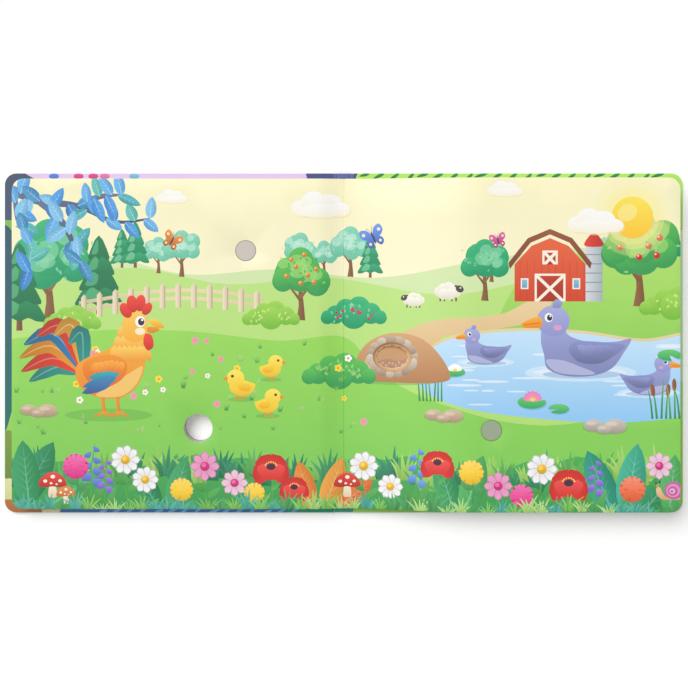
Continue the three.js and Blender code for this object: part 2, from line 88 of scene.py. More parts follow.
class Value:
    """What comes out of a node. Arithmetic on it adds Math nodes."""

    def __init__(self, graph, socket):
        self.graph = graph
        self.socket = socket

    def maths(self, operation, *terms):
        return self.graph.node("ShaderNodeMath", {"operation": operation}, dict(enumerate(terms)))

    def __add__(self, other):
        return self.maths("ADD", self, other)

    def __sub__(self, other):
        return self.maths("SUBTRACT", self, other)

    def __rsub__(self, other):
        return self.maths("SUBTRACT", other, self)

    def __mul__(self, other):
        return self.maths("MULTIPLY", self, other)

    def __gt__(self, other):
        return self.maths("GREATER_THAN", self, other)

    __radd__ = __add__
    __rmul__ = __mul__


class Graph:
    """A tree of nodes, and the one way in which nodes join it."""

    prefix = "ShaderNode"

    def node(self, kind, settings=None, inputs=None, output=0):
        """Adds a node. Its settings come first, with a ramp's stops as pairs, then its sockets."""
        made = self.tree.nodes.new(kind if "Node" in kind else self.prefix + kind)
        for key, value in (settings or {}).items():
            if key == "stops":
                while len(made.color_ramp.elements) < len(value):
                    made.color_ramp.elements.new(0.5)
                for stop, (place, colour) in zip(made.color_ramp.elements, value):
                    stop.position = place
                    stop.color = (*colour, 1)
            else:
                setattr(made, key, value)
        for key, value in (inputs or {}).items():
            if isinstance(value, Value):
                self.tree.links.new(value.socket, made.inputs[key])
            else:
                made.inputs[key].default_value = value
        return Value(self, made.outputs[output])


class Finish(Graph):
    """One material: its shader's plain settings, and the nodes that vary them."""

    def __init__(self, name, settings=None, world=None):
        owner = world or bpy.data.materials.new(name)
        owner.use_nodes = True
        self.material = owner
        self.tree = owner.node_tree
        self.shader = self.tree.nodes.get("Principled BSDF")
        for socket, value in (settings or {}).items():
            self.shader.inputs[socket].default_value = value

    def send(self, value, socket):
        """Leads a value to one of the shader's sockets."""
        self.tree.links.new(value.socket, self.shader.inputs[socket])

    def mix(self, share, first, second, way="MIX"):
        """Mixes two colours. The numbers are the colour sockets of the Mix node."""
        colours = [c if isinstance(c, Value) else (*c, 1) for c in (first, second)]
        settings = {"data_type": "RGBA", "blend_type": way}
        return self.node("Mix", settings, {0: share, 6: colours[0], 7: colours[1]}, output=2)

    def place(self, stretch=(1, 1, 1), centre=(0, 0, 0)):
        """The object's own coordinates from a centre, stretched along its axes."""
        where = self.node("TexCoord", output=3)
        moved = [-c * s for c, s in zip(centre, stretch)]
        return self.node("Mapping", None, {"Vector": where, "Location": moved, "Scale": stretch})

    def noise(self, scale, stretch=(1, 1, 1), detail=4, roughness=0.5):
        """Soft noise on the object's own coordinates."""
        inputs = {"Vector": self.place(stretch), "Scale": scale, "Detail": detail, "Roughness": roughness}
        return self.node("TexNoise", None, inputs)

    def ramp(self, value, *stops):
        """A blend through (place, colour) stops."""
        return self.node("ValToRGB", {"stops": stops}, {0: value})

    def bump(self, height, strength, distance):
        """A fine relief, with its depth in metres."""
        inputs = {"Height": height, "Strength": strength, "Distance": distance}
        self.send(self.node("Bump", None, inputs), "Normal")


def seen_directly(finish):
    """1 for what the camera sees, straight or in gloss or glass."""
    path = [finish.node("LightPath", output=name) for name in ("Is Camera Ray", "Is Glossy Ray")]
    seen = path[0] + path[1] + finish.node("LightPath", output="Is Transmission Ray")
    return seen > 0.5


camera = set_down("camera", bpy.data.cameras.new("camera"))
bpy.context.scene.camera = camera
camera.location = (0, camera_forward, camera_height)
camera.data.sensor_width = sensor
camera.data.lens = focal_length
camera.data.shift_x = shift_across
camera.data.shift_y = shift_down

lamp = set_down("lamp", bpy.data.lights.new("lamp", "SUN"))
lamp.location = lamp_place
lamp.rotation_euler = (-lamp_place).to_track_quat("-Z", "Y").to_euler()
lamp.data.angle = lamp_spread
lamp.data.energy = lamp_strength

world = bpy.data.worlds.new("studio")
bpy.context.scene.world = world
air = Finish("studio", world=world)
white = (1, 1, 1, 1)
light_only = air.node("Background", None, {"Color": white, "Strength": sky_light})
backdrop = air.node("Background", None, {"Color": white, "Strength": 1.0})
both = air.node("MixShader", None, {0: seen_directly(air), 1: light_only, 2: backdrop})
air.tree.links.new(both.socket, air.tree.nodes["World Output"].inputs["Surface"])

card_look = {"Base Color": (card_white, card_white, card_white, 1), "Roughness": 0.9}
card_paper = Finish("white_card", card_look | {"Specular IOR Level": 0.1, "Emission Strength": card_glow})
card_paper.send(card_paper.mix(seen_directly(card_paper), (0, 0, 0), (1, 1, 1)), "Emission Color")
card_mesh = bpy.data.meshes.new("white_card")
card_corners = ((-1, -1), (1, -1), (1, 1), (-1, 1))
card_spots = [(x * card_side / 2, y * card_side / 2, -card_drop) for x, y in card_corners]
card_mesh.from_pydata(card_spots, [], [(0, 1, 2, 3)])
card_mesh.materials.append(card_paper.material)
set_down("white_card", card_mesh)


# The printed sheets. Each is coated paper, printed in flat and shaded colours, laminated and glued to board.
# A sheet is one mesh, cut along the edges of its inks, and its rim turns down over the board's edge.
paper_white = np.array((0.87, 0.85, 0.78))
print_lift = 0.05
thinnest = 1e-6
map_margin = 0.005
fold_angle = math.radians(20)
longest_mitre = 1.2
ink_key = np.uint64(1000003)


def curve(*points, closed=True, step=5):
    """A smooth line through points."""
    p = np.array(points, float)
    n = len(p)
    found = []
    for i in range(n if closed else n - 1):
        picks = (i - 1, i, i + 1, i + 2)
        a, b, c, d = (p[k % n] if closed else p[min(max(k, 0), n - 1)] for k in picks)
        for t in np.arange(step) / step:
            way, bend = 0.5 * (c - a), a - 2.5 * b + 2 * c - 0.5 * d
            found.append(b + way * t + bend * t**2 + (1.5 * b - 0.5 * a - 1.5 * c + 0.5 * d) * t**3)
    if not closed:
        found.append(p[-1])
    return np.array(found)


def plank(x0, y0, x1, y1):
    """A rectangle, as its corners."""
    return [(x0, y0), (x1, y0), (x1, y1), (x0, y1)]


def aimed(turn):
    """The direction of an angle in degrees, as its parts across and up."""
    return math.cos(math.radians(turn)), math.sin(math.radians(turn))


def ellipse(x, y, wide, high=None, turn=0.0, sides=22):
    """A disc or oval, turned by degrees."""
    angle = np.linspace(0, 2 * math.pi, sides, endpoint=False)
    across, up = wide * np.cos(angle), (high or wide) * np.sin(angle)
    c, s = aimed(turn)
    return np.column_stack((x + across * c - up * s, y + across * s + up * c))


def ribbon(points, *widths, step=5):
    """A brush stroke along points, with its widths spread from start to end."""
    path = curve(*points, closed=False, step=step)
    way = np.gradient(path, axis=0)
    way /= np.linalg.norm(way, axis=1)[:, None]
    side = np.column_stack((-way[:, 1], way[:, 0]))
    spots = np.linspace(0, len(path) - 1, len(widths))
    half = np.interp(np.arange(len(path)), spots, widths)[:, None] / 2
    return np.vstack((path + side * half, (path - side * half)[::-1]))


def frond(x, y, length, width, turn, base=0.6, tip=0.9, steps=8):
    """A leaf or petal: base and tip say how bluntly its ends close."""
    t = np.linspace(0, 1, steps + 1)
    half = t**base * (1 - t) ** tip
    half *= width / 2 / half.max()
    along = np.concatenate((t, t[-2:0:-1])) * length
    across = np.concatenate((half, -half[-2:0:-1]))
    c, s = aimed(turn)
    return np.column_stack((x + along * c - across * s, y + along * s + across * c))


def shade(colour, by):
    """A colour code, lighter for by above 0 and darker below it."""
    goal = 255 if by > 0 else 0
    parts = [int(colour[i : i + 2], 16) for i in (1, 3, 5)]
    return "#" + "".join(f"{round(v + (goal - v) * abs(by)):02x}" for v in parts)


class Print:
    """The inks of one design, laid one over another. Places are in millimetres on the open book."""

    def __init__(self):
        self.inks = []
        self.at()

    def at(self, x=0.0, y=0.0, size=1.0, turn=0.0, flip=1):
        """Sets where the next shapes go."""
        c, s = aimed(turn)
        self.grow = size * np.array([[c * flip, -s], [s * flip, c]])
        self.spot = np.array([x, y])

    def lay(self, outline, colour, other=None, turn=-90, alpha=1.0):
        """Lays one ink, which shades from colour to other in the direction of turn."""
        placed = np.asarray(outline, float) @ self.grow.T + self.spot
        way = self.grow @ aimed(turn)
        way /= np.linalg.norm(way)
        reach = placed @ way
        self.inks.append((placed, ink(colour), ink(other or colour), way, reach.min(), reach.max(), alpha))

    def tone(self, outline, colour, light, dark, turn=-90, alpha=1.0):
        """Lays one ink that shades from a lighter to a darker form of its colour."""
        self.lay(outline, shade(colour, light), shade(colour, dark), turn, alpha)


def closed_lines(outline):
    """An outline's sides, each as its two ends."""
    return np.column_stack((outline, np.roll(outline, -1, axis=0)))


def winding(lines, spots):
    """How often an outline goes round each spot."""
    x0, y0, x1, y1 = lines.T
    x, y = spots[:, :1], spots[:, 1:]
    side = (x1 - x0) * (y - y0) - (x - x0) * (y1 - y0)
    up = (y0 <= y) & (y < y1) & (side > 0)
    down = (y1 <= y) & (y < y0) & (side < 0)
    return up.sum(1) - down.sum(1)


def clipped(lines, low, high):
    """What lies of each line inside a box."""
    start, way = lines[:, :2], lines[:, 2:] - lines[:, :2]
    with np.errstate(divide="ignore", invalid="ignore"):
        first, last = (low - start) / way, (high - start) / way
    flat = way == 0
    inside = (start >= low) & (start <= high)
    enter = np.where(flat, np.where(inside, -np.inf, np.inf), np.minimum(first, last)).max(1).clip(0, 1)
    leave = np.where(flat, np.where(inside, np.inf, -np.inf), np.maximum(first, last)).min(1).clip(0, 1)
    kept = leave - enter > 1e-9
    start, way = start[kept], way[kept]
    return np.column_stack((start + way * enter[kept, None], start + way * leave[kept, None]))


def triangulated(lines, tolerance=0.002):
    """Triangles that keep every line as edges, as arrays of points and corners."""
    ends = np.round(lines.reshape(-1, 2), 6)
    points, picks = np.unique(ends, axis=0, return_inverse=True)
    pairs = picks.reshape(-1, 2)
    pairs = pairs[pairs[:, 0] != pairs[:, 1]].tolist()
    spots, _, faces, *_ = delaunay_2d_cdt(points.tolist(), pairs, [], 0, tolerance, False)
    spots, faces = np.array(spots, float).reshape(-1, 2), np.array(faces, int).reshape(-1, 3)
    a, b, c = (spots[faces[:, k]] for k in range(3))
    area = (b[:, 0] - a[:, 0]) * (c[:, 1] - a[:, 1]) - (b[:, 1] - a[:, 1]) * (c[:, 0] - a[:, 0])
    return spots, np.where((area < 0)[:, None], faces[:, ::-1], faces)[np.abs(area) > 1e-7]


def edge_pairs(faces):
    """Each face's three edges, and which faces share them."""
    edges = faces[:, [0, 1, 1, 2, 2, 0]].reshape(-1, 2)
    owner = np.repeat(np.arange(len(faces)), 3)
    _, same, times = np.unique(np.sort(edges, axis=1), axis=0, return_inverse=True, return_counts=True)
    order = np.argsort(same.ravel(), kind="stable")
    firsts = np.cumsum(times) - times
    pairs = firsts[times == 2]
    return edges, owner, order[pairs], order[pairs + 1]


def stacked_inks(design, loops, boxes, near, spots):
    """Which stack of inks shows at each spot, as a number that is 0 off the paper, and what each ink covers.
    The loops are the inks, then the sheet's outline, then its holes."""
    count = len(design.inks)
    marks = np.zeros(len(spots), np.uint64)
    cover = {}
    for i in near[near < count]:
        close = np.flatnonzero((spots > boxes[i, :2]).all(1) & (spots < boxes[i, 2:]).all(1))
        inside = close[winding(loops[i], spots[close]) != 0]
        if len(inside):
            cover[i] = inside
            with np.errstate(over="ignore"):
                under = np.uint64(0) if design.inks[i][6] == 1 else marks[inside] * ink_key
                marks[inside] = under + np.uint64(i + 1)
    paper = winding(loops[count], spots) != 0
    for i in near[near > count]:
        paper &= winding(loops[i], spots) == 0
    marks[~paper] = 0
    return marks, cover


def corner_tints(design, cover, places):
    """The colour at each triangle's corners, with every ink laid over those below it."""
    tints = np.zeros((len(places), 3, 3))
    for i, inside in cover.items():
        _, start, end, way, near_end, far_end, alpha = design.inks[i]
        share = (places[inside] @ way - near_end) / max(far_end - near_end, thinnest)
        blended = start + (end - start) * share.clip(0, 1)[..., None]
        tints[inside] += alpha * (blended - tints[inside])
    return tints


def sheet_rim(corners, kept, tints):
    """The edges along which the kept triangles end, and the colours at both ends of each."""
    edges, owner, one, two = edge_pairs(corners)
    found, shades = [], []
    for here, there in ((one, two), (two, one)):
        rim = here[kept[owner[here]] & ~kept[owner[there]]]
        face, side = owner[rim], rim % 3
        found.append(edges[rim])
        shades.append(np.stack((tints[face, side], tints[face, (side + 1) % 3]), axis=1))
    return np.vstack(found), np.vstack(shades)


def cut_sheet(design, outline, holes, columns, rows):
    """Cuts a design along its visible edges of colour, one tile after another.
    Returns points, triangles, corner colours, rim edges and their colours."""
    shapes = [placed for placed, *_ in design.inks]
    loops = [closed_lines(np.asarray(s, float)) for s in [*shapes, outline, *holes]]
    boxes = np.array([[*lines[:, :2].min(0), *lines[:, :2].max(0)] for lines in loops])
    count = len(shapes)
    points, faces, colours, rims, rim_tints, total = [], [], [], [], [], 0
    tiles = [(x, y, xx, yy) for x, xx in zip(columns, columns[1:]) for y, yy in zip(rows, rows[1:])]
    for left, low, right, high in tiles:
        meets = (boxes[:, 0] < right) & (boxes[:, 2] > left) & (boxes[:, 1] < high) & (boxes[:, 3] > low)
        if not meets[count]:
            continue
        near = np.flatnonzero(meets)
        frame_lines = closed_lines(np.array(plank(left, low, right, high)))
        inner = clipped(np.vstack([loops[i] for i in near]), np.array((left, low)), np.array((right, high)))
        spots, corners = triangulated(np.vstack((frame_lines, inner)))
        marks, _ = stacked_inks(design, loops, boxes, near, spots[corners].mean(1))
        edges, owner, one, two = edge_pairs(corners)
        seen = edges[one[marks[owner[one]] != marks[owner[two]]]]
        spots, corners = triangulated(np.vstack((frame_lines, spots[seen].reshape(-1, 4))))
        marks, cover = stacked_inks(design, loops, boxes, near, spots[corners].mean(1))
        kept = marks > 0
        tints = corner_tints(design, cover, spots[corners])
        tile_rim, tile_tints = sheet_rim(corners, kept, tints)
        points.append(spots)
        faces.append(corners[kept] + total)
        colours.append(tints[kept])
        rims.append(tile_rim + total)
        rim_tints.append(tile_tints)
        total += len(spots)
    _, first, same = np.unique(np.round(np.vstack(points), 3), axis=0, return_index=True, return_inverse=True)
    faces, rims = (same.ravel()[np.vstack(found)] for found in (faces, rims))
    whole = (faces != np.roll(faces, 1, axis=1)).all(1)
    real = rims[:, 0] != rims[:, 1]
    points, colours, rim_tints = (np.vstack(found) for found in (points, colours, rim_tints))
    return points[first], faces[whole], colours[whole], rims[real], rim_tints[real]


def outward(points, rim):
    """The rim's points, and for each the way out of the sheet, longer where the rim turns a corner."""
    way = points[rim[:, 1]] - points[rim[:, 0]]
    out = np.column_stack((way[:, 1], -way[:, 0])) / np.linalg.norm(way, axis=1)[:, None]
    lean = np.zeros_like(points)
    for end in (0, 1):
        np.add.at(lean, rim[:, end], out)
    rim_points = np.unique(rim)
    size = np.linalg.norm(lean[rim_points], axis=1)[:, None]
    return rim_points, lean[rim_points] / size * (2 / size.clip(longest_mitre, 2))


def sheet_mesh(name, places, corners, shades, spread_out):
    """A mesh with its print as corner colours, and a map of the sheet as it lies spread out."""
    mesh = bpy.data.meshes.new(name)
    mesh.from_pydata((places * mm).tolist(), [], corners)
    mesh.shade_smooth()
    mesh.set_sharp_from_angle(angle=fold_angle)
    tints = mesh.color_attributes.new("print", "FLOAT_COLOR", "CORNER")
    opaque = np.column_stack((shades, np.ones(len(shades))))
    tints.data.foreach_set("color", opaque.astype(np.float32).ravel())
    spots = spread_out[np.array([c for face in corners for c in face])]
    low, high = spots.min(0), spots.max(0)
    flat = mesh.uv_layers.new(name="OFBake")
    place = map_margin + (1 - 2 * map_margin) * (spots - low) / (high - low).max()
    flat.data.foreach_set("uv", place.astype(np.float32).ravel())
    return mesh


def printed_sheet(name, design, outline, holes, height, rim, columns, rows, up=1, rim_paling=0.0, bare=()):
    """A sheet at a height above each point. Its rim is pairs of how far out and how far down it turns.
    Bare are boxes round the holes or edges along which the sheet ends flat."""
    points, faces, colours, rim_edges, rim_tints = cut_sheet(design, outline, holes, columns, rows)
    middles = points[rim_edges].mean(1)
    turned_down = np.ones(len(rim_edges), bool)
    for box in bare:
        turned_down &= ~((middles > box[:2]).all(1) & (middles < box[2:]).all(1))
    rim_edges, rim_tints = rim_edges[turned_down], rim_tints[turned_down]
    used, renumbered = np.unique(np.concatenate((faces.ravel(), rim_edges.ravel())), return_inverse=True)
    points, renumbered = points[used], renumbered.ravel()
    faces, rim_edges = renumbered[: faces.size].reshape(-1, 3), renumbered[faces.size :].reshape(-1, 2)
    top = np.column_stack((points, height(points[:, 0], points[:, 1])))
    rim_points, lean = outward(points, rim_edges)
    place_in_ring = np.searchsorted(rim_points, rim_edges)
    # The turned-down rim's colours are paled towards paper white by the given share.
    pale = rim_tints + rim_paling * (paper_white - rim_tints)
    quad_tints = np.stack((pale[:, 1], pale[:, 0], pale[:, 0], pale[:, 1]), axis=1).reshape(-1, 3)
    rings, spread_out, quads, here, run, last = [top], [points], [], rim_edges, 0.0, (0.0, 0.0)
    for step, (out, down) in enumerate(rim):
        run += math.hypot(out - last[0], down - last[1])
        last = (out, down)
        spread_out.append(points[rim_points] + lean * run)
        ring = top[rim_points].copy()
        ring[:, :2] += lean * out
        ring[:, 2] -= up * down
        rings.append(ring)
        there = place_in_ring + len(top) + step * len(rim_points)
        quads.append(np.column_stack((here[:, 1], here[:, 0], there[:, 0], there[:, 1])))
        here = there
    corners = faces.tolist() + (np.vstack(quads).tolist() if quads else [])
    shades = np.vstack((colours.reshape(-1, 3), *(quad_tints for _ in rim)))
    if up < 0:
        turned = np.concatenate([np.arange(k, k + len(f))[::-1] for k, f in corner_starts(corners)])
        corners, shades = [f[::-1] for f in corners], shades[turned]
    return set_down(name, sheet_mesh(name, np.vstack(rings), corners, shades, np.vstack(spread_out)))


def corner_starts(corners):
    """Each face with the number of its first corner."""
    start = 0
    for face in corners:
        yield start, face
        start += len(face)


def coated_print(name, gloss=0.42, coat=0.12):
    """Ink on coated paper under a thin film: satin, with faint waves and a fine tooth."""
    finish = Finish(name, {"Coat Roughness": 0.3, "Specular IOR Level": 0.35})
    tints = finish.node("VertexColor", {"layer_name": "print"})
    blotch = finish.noise(70, detail=5)
    grain = finish.noise(2600, detail=2)
    tone = 0.96 + blotch * 0.05 + grain * 0.03
    grey = finish.node("CombineColor", None, {"Red": tone, "Green": tone, "Blue": tone})
    finish.send(finish.mix(1.0, tints, grey, "MULTIPLY"), "Base Color")
    finish.send(gloss - 0.05 + blotch * 0.06 + grain * 0.04, "Roughness")
    finish.send(coat * 0.6 + blotch * (coat * 0.8), "Coat Weight")
    finish.bump(grain * 0.5 + finish.noise(420, detail=3) * 0.5, 0.10, 0.03 * mm)
    return finish.material


# The pictures in the print: a made-up farm meadow with a rooster, ducks, a barn and garden flowers. Each
# motif is a few flat inks laid over one another on the print p. It is drawn round its own foot, or round its
# middle, and set down at any place and size.
GREENS = {
    "leafy": ("#3a9c54", "#5fc257", "#a6e07a"),
    "cool": ("#209a68", "#3fb97c", "#8fdcae"),
    "mint": ("#6fc7a6", "#92d9bd", "#c8f2de"),
    "lime": ("#7bbf3f", "#a3d95a", "#d6f28f"),
    "deep": ("#1f7f52", "#2f9c62", "#6cc98d"),
}


def cloud(p, x, y, size, tint="#ffffff"):
    """White puffs over their own warm shadow."""
    p.at(x, y, size)
    puffs = ((-13, 0, 8, 6), (-5, 4, 9, 8), (6, 3, 9, 7), (14, -1, 7, 5), (0, -2, 15, 5))
    for a, b, w, h in puffs:
        p.lay(ellipse(a + 0.8, b - 1.2, w, h), "#f3e3b8", alpha=0.55)
    for a, b, w, h in puffs:
        p.lay(ellipse(a, b, w, h), tint, "#fdf6dc")


def sun(p, x, y):
    """A disc in three rings of glow."""
    p.at(x, y)
    for radius, alpha in ((23, 0.20), (19, 0.3), (16, 0.4)):
        p.lay(ellipse(0, 0, radius, sides=36), "#fff3a0", alpha=alpha)
    p.lay(ellipse(0, 0, 12.5, sides=36), "#ffe95a", "#ffc83c")
    p.lay(ellipse(-3, 3, 6, 5, 30), "#fff6a8", alpha=0.5)


def trunk(p, high, wide, bark="#9a6a45"):
    """A trunk that narrows upwards, with one branch to each side."""
    path = ((0, -1), (wide * 0.1, high * 0.35), (-wide * 0.05, high * 0.7), (0, high))
    p.lay(ribbon(path, wide * 1.7, wide, wide * 0.8, wide * 0.5), bark, shade(bark, -0.25), 0)
    for lean, rise in ((-1, 0.5), (1, 0.6)):
        arm = ((0, high * rise), (lean * wide, high * (rise + 0.2)), (lean * wide * 2.2, high * (rise + 0.42)))
        p.lay(ribbon(arm, wide * 0.6, wide * 0.3), bark, shade(bark, -0.2), 0)


def round_tree(p, x, y, size, tones, seed, fruit=None):
    """A broadleaf tree: clumps of crown, loose leaves and perhaps fruit."""
    rng = random.Random(seed)
    p.at(x, y, size)
    trunk(p, 30, 4.5)
    dark, mid, light = tones
    crown = [(rng.uniform(-15, 15), 38 + rng.uniform(-8, 10), rng.uniform(8, 11)) for _ in range(9)]
    crown += [(-15, 34, 9), (15, 34, 9), (0, 50, 11), (0, 38, 13)]
    for a, b, r in crown:
        p.lay(ellipse(a, b - 2.2, r), dark)
    for a, b, r in crown:
        p.lay(ellipse(a, b, r * 0.94), mid, dark, -70)
    for a, b, r in crown[::2]:
        p.lay(ellipse(a - 2, b + 3, r * 0.6, r * 0.5, 20), light, alpha=0.55)
    for _ in range(26):
        a, b = rng.gauss(0, 11), 40 + rng.gauss(0, 7)
        tone = rng.choice((light, dark, light))
        p.lay(frond(a, b, 3.2, 1.5, rng.uniform(0, 360), steps=4), tone, alpha=0.7)
    if fruit:
        for a, b in ((-12, 36), (-4, 44), (6, 37), (13, 42), (-8, 50), (3, 54), (11, 31), (0, 30)):
            p.tone(ellipse(a, b, 2.1, sides=14), fruit, 0, -0.25, -60)
            p.lay(ellipse(a - 0.7, b + 0.7, 0.6, sides=8), "#ffffff", alpha=0.7)


def pine(p, x, y, size, tones):
    """A fir with four skirts, each with a ragged hem."""
    p.at(x, y, size)
    p.lay(ribbon(((0, 0), (0, 14)), 4, 3), "#8c5f41", "#6d472f", 0)
    dark, mid, light = tones
    for k, (foot, wide, high) in enumerate(((8, 17, 20), (19, 14, 19), (30, 11, 18), (41, 7.5, 15))):
        skirt = [(-wide, foot), (0, foot + high), (wide, foot)]
        hem = [(wide - 2 * wide * t / 6, foot - (2.2 if t % 2 else 0)) for t in range(1, 6)]
        p.lay(curve(*skirt, *hem, step=3), dark if k % 2 else mid, shade(dark, -0.1))
        glint = curve((-wide * 0.7, foot + 2), (-1, foot + high * 0.8), (-wide * 0.1, foot + 3), step=4)
        p.lay(glint, light, alpha=0.5)


def bush(p, x, y, size, tones, seed, berries=None):
    """A low bush of lumps, with leaves and perhaps berries."""
    rng = random.Random(seed)
    p.at(x, y, size)
    dark, mid, light = tones
    lumps = [(-14, 5, 7), (-6, 9, 8), (4, 10, 9), (13, 6, 8), (0, 4, 10), (20, 3, 5), (-20, 3, 5)]
    for a, b, r in lumps:
        p.lay(ellipse(a, b - 1, r, r * 0.95), dark)
    for a, b, r in lumps:
        p.lay(ellipse(a, b + 0.4, r * 0.92, r * 0.88), mid, dark)
    for _ in range(18):
        a = rng.uniform(-17, 17)
        spot = 12 - abs(a) * 0.35 - rng.uniform(0, 9)
        p.lay(frond(a, spot, 3, 1.5, rng.uniform(30, 150), steps=4), light, alpha=0.75)
    if berries:
        for _ in range(12):
            a = rng.uniform(-15, 15)
            spot = 11 - abs(a) * 0.3 - rng.uniform(0, 8)
            p.tone(ellipse(a, spot, 1.1, sides=10), berries, 0, -0.25)


def grass(p, x, y, size, colour, seed, blades=7, spread=50):
    """A tuft of blades that lean out from its middle."""
    rng = random.Random(seed)
    p.at(x, y, size)
    for k in range(blades):
        lean = (k - (blades - 1) / 2) / blades * 2
        high = rng.uniform(7, 12) * (1 - abs(lean) * 0.35)
        bend = lean * spread / 10 + rng.uniform(-1, 1)
        blade = ((lean * 2, 0), (lean * 2 + bend * 0.35, high * 0.55), (lean * 2 + bend, high))
        tone = shade(colour, rng.uniform(-0.12, 0.12))
        p.tone(ribbon(blade, 1.7, 1.2, 0.1, step=4), tone, 0.1, -0.15)


def veined(p, x, y, length, width, turn, colour, rib, veins=5):
    """A large leaf with a rib and pairs of veins."""
    p.tone(frond(x, y, length, width, turn, 0.6, 0.8, 10), colour, 0.12, -0.14, turn - 90)
    c, s = aimed(turn)
    stalk = ((x, y), (x + c * length * 0.92, y + s * length * 0.92))
    p.lay(ribbon(stalk, width * 0.06 + 0.3, 0.1, step=2), rib, alpha=0.8)
    for k in range(1, veins + 1):
        t = 0.12 + 0.68 * k / (veins + 1)
        reach = width * 0.36 * math.sin(math.pi * t**0.8)
        for side in (-1, 1):
            across, up = aimed(turn + side * 42)
            a, b = x + c * length * t, y + s * length * t
            vein = ((a, b), (a + across * reach * 1.25, b + up * reach * 1.25))
            p.lay(ribbon(vein, 0.35 + width * 0.015, 0.1, step=2), rib, alpha=0.6)


def daisy(p, x, y, size, petals="#ffffff", heart="#ffc928", count=9, stem="#4fa64a", high=26):
    """A flower of single petals round a domed heart."""
    p.at(x, y, size)
    if stem:
        p.lay(ribbon(((2.5, -high), (-0.6, -high * 0.5), (0, 0)), 1.1, 1.0, 0.9), stem)
        p.lay(frond(1.2, -high * 0.7, 10, 3.6, 38, steps=6), shade(stem, 0.12), stem)
        p.tone(frond(0.6, -high * 0.55, 9, 3.4, 150, steps=6), stem, 0, -0.15)
    for k in range(count):
        ang = 360 * k / count
        p.tone(frond(0, 0, 8.6, 4.6, ang, 0.9, 0.42, 7), petals, -0.32, -0.16, ang)
        p.lay(frond(0, 0, 8.2, 3.8, ang, 0.9, 0.42, 6), shade(petals, -0.12), petals, ang)
    p.tone(ellipse(0, 0, 2.7, sides=18), heart, 0, -0.2)
    p.lay(ellipse(-0.6, 0.7, 1.3, sides=12), shade(heart, 0.35), alpha=0.8)


def poppy(p, x, y, size, tone="#ee3b35", stem="#4fa64a", high=26):
    """A red bowl of petals round a dark heart."""
    p.at(x, y, size)
    if stem:
        p.lay(ribbon(((-2, -high), (1, -high * 0.5), (0, 0)), 1.1, 0.9), stem)
        for k, side in enumerate((25, 155, 40)):
            leaf = frond(-0.5 + 0.3 * k, -high * (0.8 - 0.17 * k), 8, 2.4, side, steps=5)
            p.tone(leaf, stem, 0, 0.12)
    for turn, reach in ((60, 8.5), (120, 8.5), (185, 8), (-5, 8)):
        p.tone(frond(0, -2, reach * 1.35, 11, turn, 0.7, 0.35, 8), tone, 0, -0.18, turn)
    bowl = curve((-8, 1), (-5.5, -4.5), (0, -6), (5.5, -4.5), (8, 1), (4, 3.4), (0, 2.2), (-4, 3.4))
    p.tone(bowl, tone, 0.14, -0.1)
    p.lay(ellipse(0, 1.6, 2.6, 1.8, sides=16), "#3b2a3a")
    for k in range(7):
        c, s = aimed(20 + 23 * k)
        p.lay(ellipse(3.4 * c, 1.6 + 2.8 * s, 0.45, sides=8), "#ffe27a")


def pompom(p, x, y, size, tone, seed, stem="#3f9350", high=24):
    """A round flower head of many small petals in rings."""
    rng = random.Random(seed)
    p.at(x, y, size)
    if stem:
        p.lay(ribbon(((0, -high), (1.2, -high * 0.5), (0, 0)), 1.2, 0.9), stem)
        p.lay(frond(0.6, -high * 0.6, 9, 4, 30, steps=6), shade(stem, 0.1), stem)
        p.lay(frond(0.6, -high * 0.45, 9, 4, 148, steps=6), shade(stem, 0.15), stem)
    p.lay(ellipse(0, 0, 7.6, sides=26), shade(tone, -0.2))
    for ring, count in ((6.2, 15), (4.4, 11), (2.5, 7), (0.6, 3)):
        for k in range(count):
            ang = 2 * math.pi * (k + rng.random() * 0.4) / count
            a, b = ring * math.cos(ang), ring * math.sin(ang)
            glow = 0.05 + 0.30 * (b + 6) / 12
            p.tone(ellipse(a, b, 1.75, 1.35, math.degrees(ang), 10), tone, glow, glow - 0.2)


def bells(p, x, y, size, tone, stem="#4fa64a"):
    """A spike of small bells on both sides of its stem."""
    p.at(x, y, size)
    p.lay(ribbon(((0, -12), (-0.8, 6), (1.5, 22)), 1.1, 0.9, 0.3), stem)
    for k in range(7):
        side = -1 if k % 2 else 1
        high = 3 + 2.8 * k
        wide = 2.9 - 0.26 * k
        bell = ((0.4, high + 1), (wide + 1.6, high + 0.4), (wide + 2.6, high - wide),
                (wide + 0.4, high - wide - 0.6), (0.9, high - wide * 0.9))
        p.tone(curve(*((side * a, b) for a, b in bell), step=4), tone, 0.16, -0.16)
    p.tone(frond(0, -11, 17, 4, 66, steps=6), stem, 0.12, -0.1)
    p.tone(frond(0, -11, 15, 4, 118, steps=6), stem, 0, -0.15)


def mushroom(p, x, y, size, cap="#e6392f"):
    """A pale stalk under a spotted cap."""
    p.at(x, y, size)
    p.lay(curve((-2.6, 0), (-1.8, 7), (1.8, 7), (2.8, 0), (0, -1)), "#fff3dd", "#e5cfae")
    hood = curve((-9, 7), (-6.5, 12.5), (0, 15.5), (6.5, 12.5), (9, 7), (4.5, 5.6), (0, 6.2), (-4.5, 5.6))
    p.tone(hood, cap, 0.12, -0.2)
    for a, b, r in ((-4.6, 9.6, 1.3), (0.2, 12.4, 1.5), (4.8, 9.8, 1.2), (-0.9, 8.2, 0.9), (2.6, 7.6, 0.7)):
        p.lay(ellipse(a, b, r, r * 0.8, sides=12), "#fff6e6")


